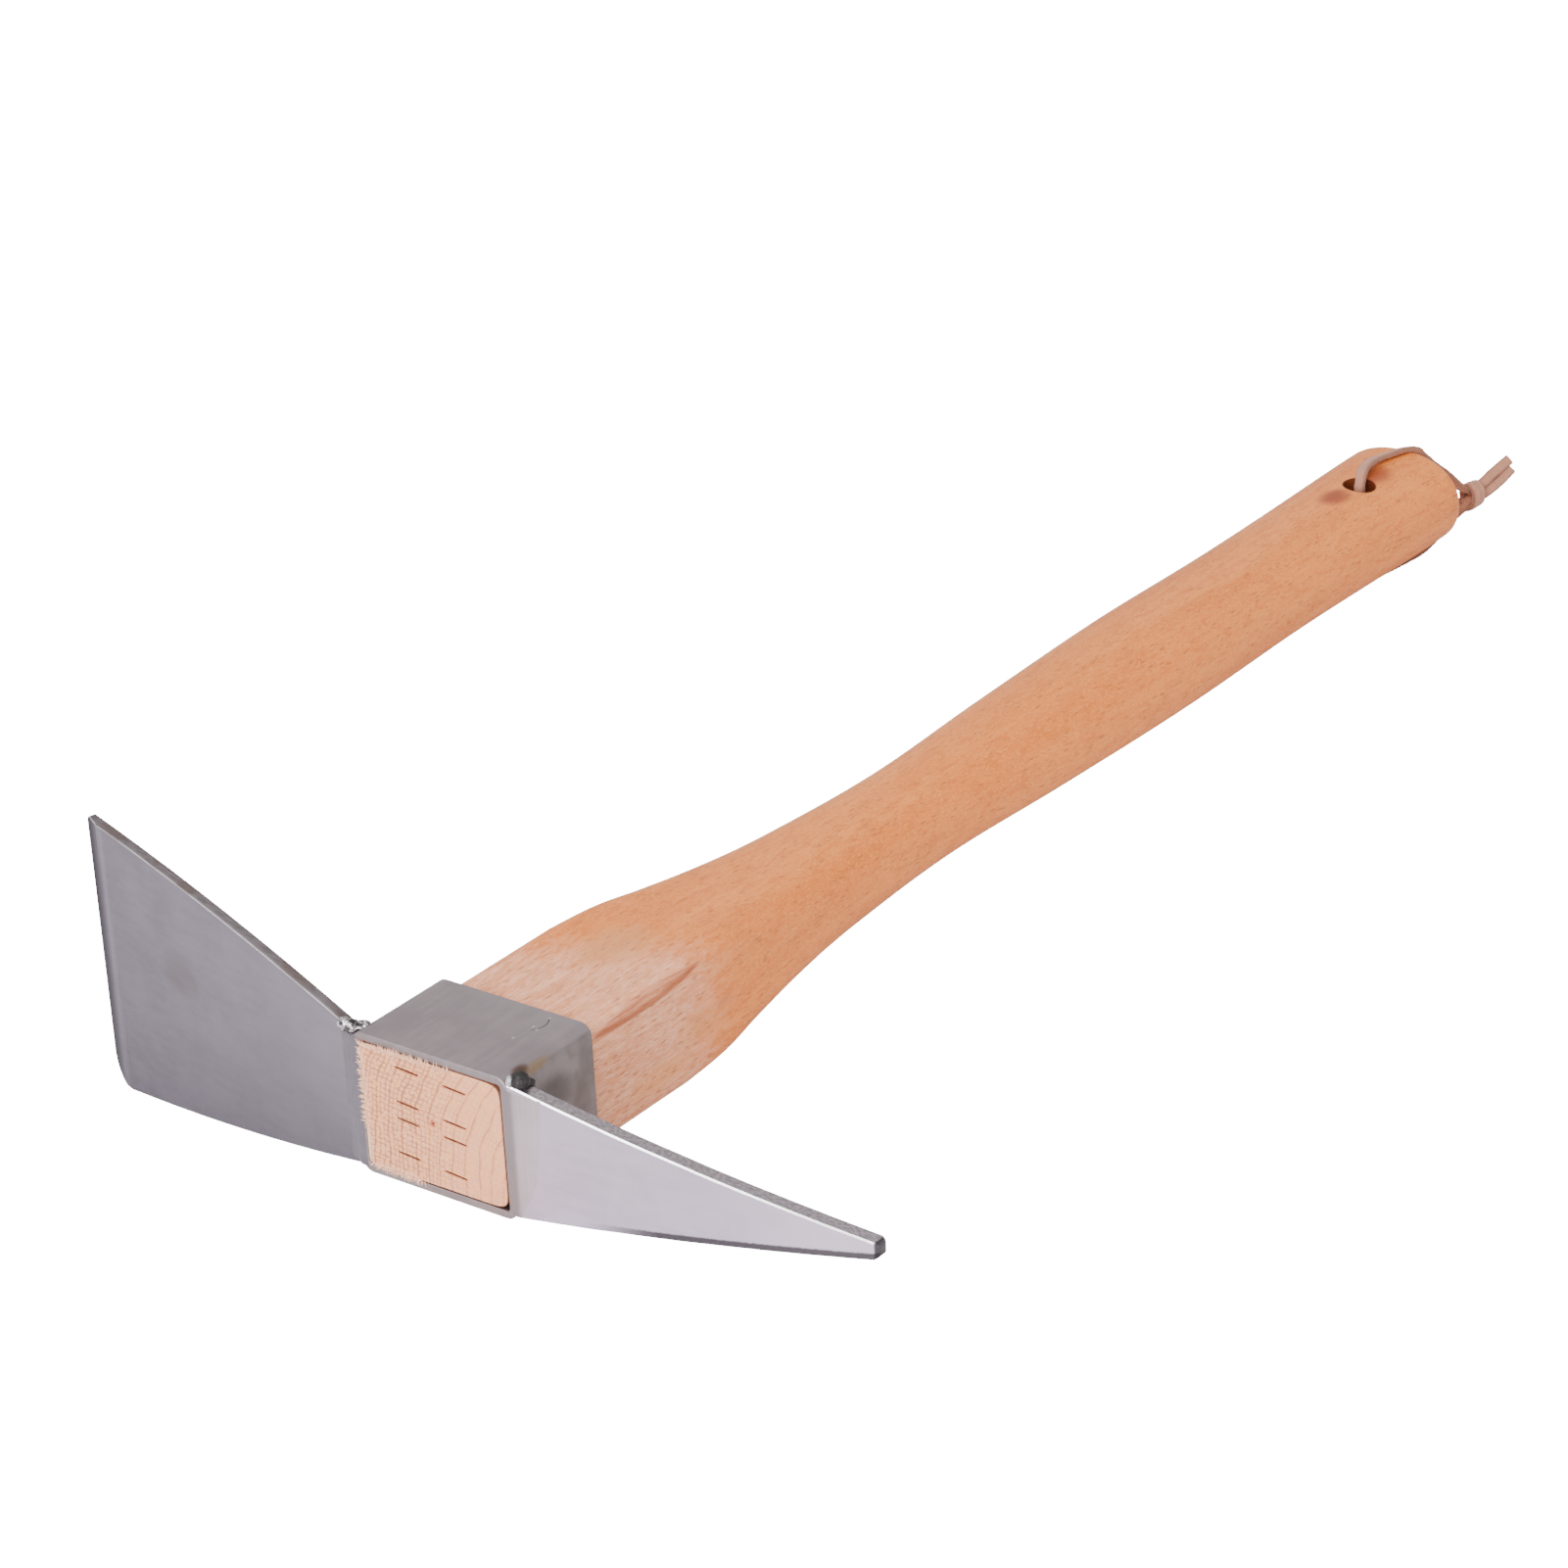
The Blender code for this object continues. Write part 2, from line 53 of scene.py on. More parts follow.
SOCKET_TOP_ABOVE = 0.0178       # and above the head's middle
socket_top = Vector(faces["socket_top"]["pos_m"])
front_middle = socket_top - SOCKET_TOP_BEHIND * tool_y - SOCKET_TOP_ABOVE * tool_z
tool_axes = Matrix((tool_x, tool_y, tool_z)).transposed().to_4x4()
LAID_DOWN = Matrix.Translation(front_middle) @ tool_axes

azimuth, elevation, roll = (math.radians(angle) for angle in (37.72, 25.31, -3.08))
view_back = Vector((
    math.sin(azimuth) * math.cos(elevation),
    -math.cos(azimuth) * math.cos(elevation),
    math.sin(elevation),
))
level_right = Vector((math.cos(azimuth), math.sin(azimuth), 0.0))
level_up = view_back.cross(level_right)
view_right = math.cos(roll) * level_right + math.sin(roll) * level_up
view_up = math.cos(roll) * level_up - math.sin(roll) * level_right
view_turn = Matrix((view_right, view_up, view_back)).transposed().to_4x4()
camera = bpy.data.objects.new("camera", bpy.data.cameras.new("camera"))
camera.data.sensor_width = 36.0
camera.data.lens = 112.42
camera.data.clip_start = 0.05
view_from = Matrix.Translation((0.64236, -0.69777, 0.52546))
camera.matrix_world = LAID_DOWN @ view_from @ view_turn
bpy.context.scene.collection.objects.link(camera)
bpy.context.scene.camera = camera


# ---------------------------------------------------------------- thong
# A suede lace is threaded down through the hang hole, over and under the butt, and its two ends
# are tied together in an overhand knot close behind the butt. The lace is cut from split hide,
# so its faces are napped and its cut edges are darker.
LACE_WIDTH = 0.0030
LACE_THICKNESS = 0.0016
HANG_HOLE = Vector((0.0032, 0.3955, 0.0))
LACE_ROUTE = (
    (0.0136, 0.0606, 0.0026), (0.0124, 0.0544, 0.0008), (0.0111, 0.0488, -0.0014),
    (0.0097, 0.0454, -0.0022), (0.0085, 0.0422, -0.0005), (0.0056, 0.0384, 0.0044),
    (0.0034, 0.0344, 0.0084), (0.0018, 0.0319, 0.0114), (0.0007, 0.0298, 0.0137),
    (-0.0008, 0.0262, 0.0147), (-0.0024, 0.0200, 0.0150), (-0.0030, 0.0130, 0.0157),
    (-0.0020, 0.0064, 0.0161), (-0.0005, 0.0018, 0.0148), (0.0, 0.0001, 0.0108),
    (0.0, 0.0, 0.0), (0.0, 0.0, -0.0096), (0.0001, 0.0013, -0.0134), (0.0006, 0.0050, -0.0156),
    (0.0016, 0.0120, -0.0158), (0.0026, 0.0200, -0.0158), (0.0035, 0.0274, -0.0156),
    (0.0045, 0.0324, -0.0139), (0.0058, 0.0366, -0.0108), (0.0084, 0.0423, -0.0071),
    (0.0102, 0.0454, -0.0045), (0.0122, 0.0489, -0.0038), (0.0139, 0.0546, -0.0018),
    (0.0146, 0.0600, 0.0002),
)


def smooth_route(points, step):
    """Evenly spaced points on a smooth curve through the given ones."""
    dense = []
    for i in range(len(points) - 1):
        before = points[max(i - 1, 0)]
        after = points[min(i + 2, len(points) - 1)]
        start, end = points[i], points[i + 1]
        for k in range(24):
            t = k / 24
            dense.append(0.5 * (
                2 * start + (end - before) * t
                + (2 * before - 5 * start + 4 * end - after) * t**2
                + (3 * start - before - 3 * end + after) * t**3
            ))
    dense.append(points[-1])
    total = sum((b - a).length for a, b in zip(dense, dense[1:]))
    count = max(2, round(total / step))
    spaced = [dense[0]]
    walked = 0.0
    for a, b in zip(dense, dense[1:]):
        stretch = (b - a).length
        while len(spaced) < count and walked + stretch >= total * len(spaced) / count:
            spaced.append(a.lerp(b, (total * len(spaced) / count - walked) / stretch))
        walked += stretch
    return spaced + [dense[-1]]


def link_piece(name, mesh, materials, body, replaced, sharp=35):
    """Lay a finished mesh down, name it, and fix it to the body that it moves with."""
    mesh.transform(LAID_DOWN)
    mesh.name = name
    mesh.materials.clear()
    for material in materials:
        mesh.materials.append(material)
    mesh.shade_smooth()
    mesh.set_sharp_from_angle(angle=math.radians(sharp))
    piece = bpy.data.objects.new(name, mesh)
    bpy.context.scene.collection.objects.link(piece)
    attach(piece, body)
    if replaced:
        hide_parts(*replaced)
    return piece


def lace_outline(width, thickness):
    """The lace's cut section: flat faces, soft corners. Gives across, through and edge share."""
    outline = []
    for i in range(20):
        angle = math.tau * (i + 0.5) / 20
        across, through = math.cos(angle), math.sin(angle)
        reach = (abs(across) ** 4.5 + abs(through) ** 4.5) ** (-1 / 4.5)
        outline.append((
            width / 2 * reach * across,
            thickness / 2 * reach * through,
            max(0.0, min(1.0, (abs(reach * across) - 0.66) / 0.26)),
        ))
    return outline


def into_mesh(bm, name):
    """Turn a built shape into a mesh, with its faces pointing outwards."""
    bmesh.ops.recalc_face_normals(bm, faces=bm.faces)
    mesh = bpy.data.meshes.new(name)
    bm.to_mesh(mesh)
    bm.free()
    return mesh


def sweep_lace(bm, points, width_ways, scale_at=None):
    """Skin the lace along its points, with its width turned the way that width_ways says."""
    edge_layer = bm.verts.layers.float.get("cut_edge") or bm.verts.layers.float.new("cut_edge")
    outline = lace_outline(LACE_WIDTH, LACE_THICKNESS)
    rings = []
    for i, point in enumerate(points):
        ahead = (points[min(i + 1, len(points) - 1)] - points[max(i - 1, 0)]).normalized()
        wide = (width_ways[i] - ahead * width_ways[i].dot(ahead)).normalized()
        thick = ahead.cross(wide)
        size = scale_at(i / (len(points) - 1)) if scale_at else 1.0
        ring = []
        for across, through, edge in outline:
            place = point + size * (across * wide + through * thick)
            lumps = noise.noise(place * 900.0) * 0.00009 + noise.noise(place * 2600.0) * 0.00004
            vertex = bm.verts.new(place + (place - point).normalized() * lumps)
            vertex[edge_layer] = edge
            ring.append(vertex)
        rings.append(ring)
    for ring, following in zip(rings, rings[1:]):
        for k in range(len(ring)):
            m = (k + 1) % len(ring)
            bm.faces.new((ring[k], ring[m], following[m], following[k]))
    for ring in (rings[0], rings[-1]):
        middle = bm.verts.new(sum((v.co for v in ring), Vector()) / len(ring))
        middle[edge_layer] = 1.0
        for k in range(len(ring)):
            bm.faces.new((ring[k], ring[(k + 1) % len(ring)], middle))


lace_points = [HANG_HOLE + p for p in smooth_route([Vector(p) for p in LACE_ROUTE], 0.0004)]
lace_ways = []
for number, point in enumerate(lace_points):
    walked = number / (len(lace_points) - 1)
    loose_end = min(1.0, max(0.0, 0.13 - walked, walked - 0.87) / 0.06)
    twist = 0.30 * math.sin(7.0 * walked) * (1 - loose_end) - 0.80 * loose_end
    lace_ways.append(Vector((math.cos(twist), 0.0, math.sin(twist))))
lace_bm = bmesh.new()
sweep_lace(lace_bm, lace_points, lace_ways)
lace_mesh = into_mesh(lace_bm, "thong_lace")

# The knot's outer turns: the lace passes twice around its own two ends and tucks in.
KNOT_MIDDLE = HANG_HOLE + Vector((0.0102, 0.0452, -0.0035))
KNOT_AXIS = Vector((0.30, 0.93, 0.10)).normalized()
KNOT_TURNS = 2.1
knot_side = KNOT_AXIS.cross(Vector((0.0, 0.0, 1.0))).normalized()
knot_top = knot_side.cross(KNOT_AXIS).normalized()
knot_points = []
for number in range(150):
    share = number / 149
    angle = math.radians(200) + math.tau * KNOT_TURNS * share
    tucked = max(0.0, 1 - share / 0.10) + max(0.0, (share - 0.90) / 0.10)
    reach = 0.00300 - 0.00145 * min(1.0, tucked) - 0.00035 * share
    forward = -0.00165 + 0.0035 * share + 0.00045 * math.sin(angle + 0.6)
    knot_points.append(
        KNOT_MIDDLE + KNOT_AXIS * forward
        + reach * (math.cos(angle) * knot_side + 1.12 * math.sin(angle) * knot_top)
    )
knot_bm = bmesh.new()
sweep_lace(knot_bm, knot_points, [KNOT_AXIS] * len(knot_points), lambda share: 0.92)
knot_mesh = into_mesh(knot_bm, "thong_knot_turns")


def add_node(tree, kind, inputs=None, **settings):
    """Add a shader node, and set or link its inputs by name or number."""
    made = tree.nodes.new(kind)
    for key, value in settings.items():
        setattr(made, key, value)
    for key, value in (inputs or {}).items():
        if isinstance(value, bpy.types.NodeSocket):
            tree.links.new(value, made.inputs[key])
        else:
            made.inputs[key].default_value = value
    return made


def work_out(tree, operation, first, second=0.0, third=0.0, clamp=False):
    """One step of arithmetic on values that change over the surface."""
    inputs = {0: first, 1: second, 2: third}
    return add_node(
        tree, "ShaderNodeMath", inputs, operation=operation, use_clamp=clamp,
    ).outputs[0]


def times(tree, first, second):
    return work_out(tree, "MULTIPLY", first, second)


def fade(tree, value, low, high):
    """0 below low, 1 above high, and a soft step between."""
    inputs = {"Value": value, "From Min": low, "From Max": high}
    made = add_node(tree, "ShaderNodeMapRange", inputs, interpolation_type="SMOOTHSTEP")
    return made.outputs[0]


def blend_colours(tree, share, first, second, way="MIX"):
    """Lay the second colour over the first, as strongly as share says."""
    def four(colour):
        return (*colour, 1.0) if isinstance(colour, tuple) else colour
    inputs = {0: share, 6: four(first), 7: four(second)}
    return add_node(tree, "ShaderNodeMix", inputs, data_type="RGBA", blend_type=way).outputs[2]


def lay_over(tree, colour, share, strength, tint):
    """Lay a tint over a colour where the share says, at most as strong as strength."""
    return blend_colours(tree, times(tree, share, strength), colour, tint)


def read_noise(tree, vector, scale, detail=2.0, roughness=0.5, distortion=0.0):
    inputs = {
        "Vector": vector, "Scale": scale, "Detail": detail,
        "Roughness": roughness, "Distortion": distortion,
    }
    return add_node(tree, "ShaderNodeTexNoise", inputs).outputs[0]


def stretch(tree, vector, size, place=(0.0, 0.0, 0.0)):
    inputs = {"Vector": vector, "Scale": size, "Location": place}
    return add_node(tree, "ShaderNodeMapping", inputs).outputs[0]


def new_material(name):
    """A material with its Principled shader, and the tool's own axes in millimetres."""
    material = bpy.data.materials.new(name)
    material.use_nodes = True
    tree = material.node_tree
    shader = tree.nodes["Principled BSDF"]
    upright = LAID_DOWN.inverted()
    turn = upright.to_euler("XYZ")
    object_place = add_node(tree, "ShaderNodeTexCoord").outputs["Object"]
    inputs = {
        "Vector": object_place, "Scale": (1000.0, 1000.0, 1000.0),
        "Rotation": tuple(turn), "Location": tuple(upright.translation * 1000.0),
    }
    place = add_node(tree, "ShaderNodeMapping", inputs).outputs[0]
    return material, tree, shader, place


def set_bump(tree, shader, height, distance, strength=1.0):
    inputs = {"Height": height, "Distance": distance, "Strength": strength}
    made = add_node(tree, "ShaderNodeBump", inputs)
    tree.links.new(made.outputs[0], shader.inputs["Normal"])


suede, tree, shader, place = new_material("suede")
cut_edge = add_node(tree, "ShaderNodeAttribute", attribute_name="cut_edge").outputs["Fac"]
nap = read_noise(tree, place, 3.2, 4.0, 0.65)
patches = read_noise(tree, place, 0.28, 2.0)
fuzz = read_noise(tree, place, 11.0, 2.0, 0.7)
hide = blend_colours(tree, fade(tree, nap, 0.35, 0.68), (0.36, 0.150, 0.088), (0.56, 0.262, 0.165))
hide = blend_colours(tree, fade(tree, patches, 0.42, 0.66), hide, (0.48, 0.205, 0.128))

raw_edge = times(tree, cut_edge, fade(tree, fuzz, 0.25, 0.60))

hide = lay_over(tree, hide, raw_edge, 0.90, (0.20, 0.066, 0.036))
tree.links.new(hide, shader.inputs["Base Color"])
shader.inputs["Roughness"].default_value = 0.92
shader.inputs["Specular IOR Level"].default_value = 0.25
shader.inputs["Sheen Weight"].default_value = 0.35
shader.inputs["Sheen Roughness"].default_value = 0.5
shader.inputs["Sheen Tint"].default_value = (1.0, 0.86, 0.76, 1.0)
set_bump(tree, shader, work_out(tree, "ADD", nap, fuzz), 0.00009)

thong_knot_turns = link_piece(
    "thong_knot_turns", knot_mesh, [suede], "lanyard", ["thong_knot"], 60,
)
thong_lace = link_piece(
    "thong_lace", lace_mesh, [suede], "lanyard",
    ["thong_loop", "thong_tail_1", "thong_tail_2"], 60,
)


# ---------------------------------------------------------------- handle
# One piece of steamed beech, turned on a copying lathe: a squared tenon at the head, an oval
# waist and grip, and a butt with its edge rounded over. The grip is varnished and the tenon is
# left raw from the sanding belt. A 9 mm hole is drilled through near the butt.
HANDLE_LENGTH = 0.4255
SQUARED_LENGTH = 0.066
BUTT_ROUNDING = 0.0025
HANG_HOLE_RADIUS = 0.0045
TENON = (0.0400, 0.0310)
WAIST = (0.0304, 0.0232)
GRIP = (0.0362, 0.0274)
NECK = (0.0354, 0.0266)
BUTT = (0.0380, 0.0278)
SHAFT_SHAPE = (  # share of the shaft, section it leaves and nears, how near, squareness
    (0.000, TENON, WAIST, 0.00, 14.0),
    (0.040, TENON, WAIST, 0.08, 10.0),
    (0.080, TENON, WAIST, 0.27, 5.5),
    (0.150, TENON, WAIST, 0.62, 3.2),
    (0.235, TENON, WAIST, 0.88, 2.45),
    (0.330, WAIST, GRIP, 0.00, 2.2),
    (0.460, WAIST, GRIP, 0.55, 2.2),
    (0.620, GRIP, NECK, 0.00, 2.2),
    (0.775, NECK, BUTT, 0.00, 2.2),
    (0.970, NECK, BUTT, 1.00, 2.2),
    (1.000, NECK, BUTT, 1.00, 2.2),
)


def along_curve(rows, share):
    """Read a smooth value from rows of (share, value)."""
    for index in range(len(rows) - 1):
        if share <= rows[index + 1][0]:
            break
    x0, x1 = rows[index][0], rows[index + 1][0]
    y0, y1 = rows[index][1], rows[index + 1][1]
    before = rows[max(index - 1, 0)]
    after = rows[min(index + 2, len(rows) - 1)]
    slope0 = (y1 - before[1]) / (x1 - before[0])
    slope1 = (after[1] - y0) / (after[0] - x0)
    t = (share - x0) / (x1 - x0)
    run = x1 - x0
    return (
        (2 * t**3 - 3 * t**2 + 1) * y0 + (t**3 - 2 * t**2 + t) * run * slope0
        + (3 * t**2 - 2 * t**3) * y1 + (t**3 - t**2) * run * slope1
    )


def handle_section(y):
    """Half width, half height and squareness of the handle at a distance from its front."""
    share = max(0.0, min(1.0, (y - SQUARED_LENGTH) / (HANDLE_LENGTH - SQUARED_LENGTH)))
    widths, heights, squareness = [], [], []
    for station, leaving, nearing, nearness, square in SHAFT_SHAPE:
        widths.append((station, (leaving[0] + (nearing[0] - leaving[0]) * nearness) / 2))
        heights.append((station, (leaving[1] + (nearing[1] - leaving[1]) * nearness) / 2))
        squareness.append((station, square))
    return [along_curve(rows, share) for rows in (widths, heights, squareness)]


handle_bm = bmesh.new()
stations = [(0.0, 0.00025), (0.00010, 0.00010), (0.00030, 0.0)]
stations += [(0.0003 + 0.0016 * step, 0.0) for step in range(1, 265)]
stations = [s for s in stations if s[0] < HANDLE_LENGTH - BUTT_ROUNDING - 0.0006]
for step in range(9):
    turned = math.radians(90 * step / 8)
    inset = BUTT_ROUNDING * (1 - math.cos(turned))
    stations.append((HANDLE_LENGTH - BUTT_ROUNDING * (1 - math.sin(turned)), inset))
handle_rings = []
for y, inset in stations:
    half_width, half_height, squareness = handle_section(y)
    ring = []
    for step in range(224):
        angle = math.tau * step / 224
        across, upright = math.cos(angle), math.sin(angle)
        square = squareness * 2.6 if y < 0.028 and across < 0 else squareness
        reach = (abs(across) ** square + abs(upright) ** square) ** (-1 / square)
        point = Vector((
            (half_width - inset) * reach * across, y, (half_height - inset) * reach * upright,
        ))
        if y < 0.028 and across < 0:
            point.x -= 0.00024
        outward = Vector((across, 0.0, upright))
        sanded = noise.noise(Vector((point.x * 60, point.y * 22, point.z * 60)))
        ends = min(1.0, max(0.0, (y - 0.034) / 0.02)) * min(1.0, (HANDLE_LENGTH - y) / 0.02)
        ring.append(handle_bm.verts.new(point + outward * (0.00012 * sanded * ends - 0.00005)))
    handle_rings.append(ring)
for ring, following in zip(handle_rings, handle_rings[1:]):
    for i in range(len(ring)):
        j = (i + 1) % len(ring)
        handle_bm.faces.new((ring[i], following[i], following[j], ring[j]))
handle_bm.faces.new(handle_rings[0])
handle_bm.faces.new(handle_rings[-1][::-1])
handle_mesh = into_mesh(handle_bm, "beech_handle")


def join_outlines(bm, near_points, far_points):
    """A closed solid between two outlines that have the same number of points."""
    near = [bm.verts.new(point) for point in near_points]
    far = [bm.verts.new(point) for point in far_points]
    for i in range(len(near)):
        j = (i + 1) % len(near)
        bm.faces.new((near[i], near[j], far[j], far[i]))
    bm.faces.new(near)
    bm.faces.new(far)


# Marks of the lathe's driver in the front end grain: eight thin slits in two columns around a
# point. The driver sat a few degrees askew.
SLIT_LENGTH = 0.0081
SLIT_WIDTH = 0.00078
SLIT_DEPTH = 0.0011
SLIT_COLUMN = 0.00675
SLIT_ROWS = (0.01095, 0.00215)
marks_bm = bmesh.new()
askew = Matrix.Translation((-0.0006, 0.0, 0.0004)) @ Matrix.Rotation(math.radians(3.8), 4, "Y")
for column in (-SLIT_COLUMN, SLIT_COLUMN):
    for row in SLIT_ROWS:
        for side in (-1, 1):
            length = SLIT_LENGTH * (
                1 + 0.05 * noise.noise(Vector((column * 900, row * 900, side)))
            )
            outline = [
                Vector((length * x, 0.0, SLIT_WIDTH * z))
                for x, z in (
                    (-0.5, 0.05), (-0.47, -0.36), (-0.3, -0.5), (0.35, -0.5), (0.48, -0.34),
                    (0.5, 0.06), (0.46, 0.42), (0.0, 0.5), (-0.44, 0.44),
                )
            ]
            centre = askew @ Vector((column, 0.0, side * row))
            turn = askew.to_3x3()
            join_outlines(
                marks_bm,
                [centre + turn @ p - Vector((0, 0.001, 0)) for p in outline],
                [centre + turn @ (p * 0.72) + Vector((0, SLIT_DEPTH, 0)) for p in outline],
            )
bmesh.ops.create_cone(
    marks_bm, cap_ends=True, segments=14, radius1=0.0001, radius2=0.00062, depth=0.0026,
    matrix=Matrix.Translation((0.0, 0.0, 0.0005)) @ Matrix.Rotation(math.radians(90), 4, "X"),
)
bmesh.ops.create_cone(
    marks_bm, cap_ends=True, segments=64, radius1=HANG_HOLE_RADIUS, radius2=HANG_HOLE_RADIUS,
    depth=0.06, matrix=Matrix.Translation(HANG_HOLE),
)


def cut_away(mesh, cutter_bm, name):
    """Cut one closed shape out of another, and give the plain mesh that is left."""
    whole = bpy.data.objects.new(name, mesh)
    cutter_mesh = into_mesh(cutter_bm, name + "_cutter")
    cutter = bpy.data.objects.new(name + "_cutter", cutter_mesh)
    for thing in (whole, cutter):
        bpy.context.scene.collection.objects.link(thing)
    boolean = whole.modifiers.new("cut", "BOOLEAN")
    boolean.operation = "DIFFERENCE"
    boolean.solver = "MANIFOLD"
    boolean.object = cutter
    left = finished_mesh(whole)
    bpy.data.objects.remove(cutter)
    return left


def finished_mesh(thing):
    """The plain mesh that an object's modifiers make, with the object itself removed."""
    graph = bpy.context.evaluated_depsgraph_get()
    graph.update()
    mesh = bpy.data.meshes.new_from_object(thing.evaluated_get(graph))
    bpy.data.objects.remove(thing)
    return mesh


handle_mesh = cut_away(handle_mesh, marks_bm, "handle_blank")


def fade_out(tree, value, low, high):
    """1 below the low end, falling smoothly to 0 at the high end."""
    return work_out(tree, "SUBTRACT", 1.0, fade(tree, value, low, high))


# Beech wood. The side and the end grain are two finishes of one piece of timber, and they share
# its pore flecks. Y runs along the fibres.
flecks_group = bpy.data.node_groups.new("pore_flecks", "ShaderNodeTree")
flecks_group.interface.new_socket("Place", in_out="INPUT", socket_type="NodeSocketVector")
flecks_group.interface.new_socket("Longer", in_out="INPUT", socket_type="NodeSocketVector")
flecks_group.interface.new_socket("Width", in_out="INPUT", socket_type="NodeSocketFloat")
flecks_group.interface.new_socket("Flecks", in_out="OUTPUT", socket_type="NodeSocketFloat")
inside = add_node(flecks_group, "NodeGroupInput")
longer = add_node(
    flecks_group, "ShaderNodeVectorMath",
    {0: inside.outputs["Place"], 1: inside.outputs["Longer"]}, operation="MULTIPLY",
).outputs[0]
wander = read_noise(flecks_group, longer, 0.5, 2.0)
cells = add_node(
    flecks_group, "ShaderNodeTexVoronoi",
    {"Vector": longer, "Scale": 1.0, "Randomness": 1.0}, feature="F1",
)
which = add_node(flecks_group, "ShaderNodeSeparateColor", {0: cells.outputs["Color"]}).outputs[0]
size = times(flecks_group, inside.outputs["Width"], fade(flecks_group, which, 0.2, 0.8))
fleck = work_out(
    flecks_group, "DIVIDE", cells.outputs["Distance"], work_out(flecks_group, "ADD", size, 0.001),
)

fleck = fade_out(flecks_group, fleck, 0.55, 1.0)
fleck = times(flecks_group, fleck, fade(flecks_group, wander, 0.25, 0.50))
add_node(flecks_group, "NodeGroupOutput", {"Flecks": fleck})


def add_flecks(tree, place, longer, width):
    made = add_node(tree, "ShaderNodeGroup", node_tree=flecks_group)
    tree.links.new(place, made.inputs["Place"])
    made.inputs["Longer"].default_value = longer
    made.inputs["Width"].default_value = width
    return made.outputs[0]


beech, tree, shader, place = new_material("beech")
apart = add_node(tree, "ShaderNodeSeparateXYZ", {0: place})
at_x, at_y, at_z = apart.outputs
figure = read_noise(tree, stretch(tree, place, (0.10, 0.010, 0.10)), 1.0, 3.0, 0.55, 0.4)
streaks = read_noise(tree, stretch(tree, place, (1.1, 0.035, 1.1)), 1.0, 4.0, 0.6, 0.3)
fine = read_noise(tree, stretch(tree, place, (5.0, 0.30, 5.0)), 1.0, 3.0, 0.6)
mottle = read_noise(tree, stretch(tree, place, (0.55, 0.16, 0.55)), 1.0, 4.0, 0.62, 0.5)
speckle = read_noise(tree, stretch(tree, place, (2.6, 0.85, 2.6)), 1.0, 3.0, 0.65)
flecks = add_flecks(tree, place, (1.35, 0.24, 1.35), 0.36)
small_flecks = add_flecks(tree, place, (2.3, 0.55, 2.3), 0.38)

varnished = blend_colours(
    tree, fade(tree, figure, 0.32, 0.68), (0.720, 0.188, 0.026), (0.835, 0.250, 0.046),
)
varnished = lay_over(tree, varnished, fade(tree, streaks, 0.45, 0.72), 0.45, (0.670, 0.155, 0.018))
varnished = lay_over(tree, varnished, fade(tree, mottle, 0.47, 0.64), 0.52, (0.600, 0.138, 0.016))
varnished = lay_over(tree, varnished, fade(tree, speckle, 0.50, 0.66), 0.60, (0.930, 0.345, 0.090))
raw = blend_colours(
    tree, fade(tree, streaks, 0.32, 0.68), (0.800, 0.305, 0.155), (0.930, 0.445, 0.268),
)
raw = lay_over(tree, raw, fade(tree, fine, 0.52, 0.72), 0.50, (0.930, 0.600, 0.450))
raw = lay_over(tree, raw, fade(tree, mottle, 0.46, 0.60), 0.50, (0.700, 0.260, 0.110))
threads = read_noise(tree, stretch(tree, place, (2.8, 0.16, 2.8)), 1.0, 3.0, 0.65, 0.3)
raw = lay_over(tree, raw, fade(tree, threads, 0.50, 0.62), 0.36, (0.480, 0.165, 0.075))
scuffs = read_noise(tree, stretch(tree, place, (3.2, 0.22, 3.2), (31.0, 7.0, 5.0)), 1.0, 3.0, 0.7)
raw = lay_over(tree, raw, fade(tree, scuffs, 0.57, 0.66), 0.50, (0.930, 0.620, 0.460))
ragged = work_out(tree, "MULTIPLY_ADD", mottle, 26.0, at_y)
ragged = work_out(tree, "MULTIPLY_ADD", streaks, 22.0, ragged)
ragged = work_out(tree, "MULTIPLY_ADD", at_x, -0.55, ragged)
varnish_share = fade(tree, ragged, 74.0, 100.0)
timber = blend_colours(tree, varnish_share, raw, varnished)


def near_point(tree, apart, middle, size, wobble=None, sharp=0.0):
    """1 within an egg-shaped patch around a point, fading to 0 at its rim."""
    total = None
    for axis, (centre, half) in enumerate(zip(middle, size)):
        away = work_out(
            tree, "DIVIDE", work_out(tree, "SUBTRACT", apart.outputs[axis], centre), half,
        )
        away = times(tree, away, away)
        total = away if total is None else work_out(tree, "ADD", total, away)
    if wobble is not None:
        total = work_out(tree, "MULTIPLY_ADD", wobble, 0.8, work_out(tree, "SUBTRACT", total, 0.4))
    return fade_out(tree, total, sharp, 1.0)


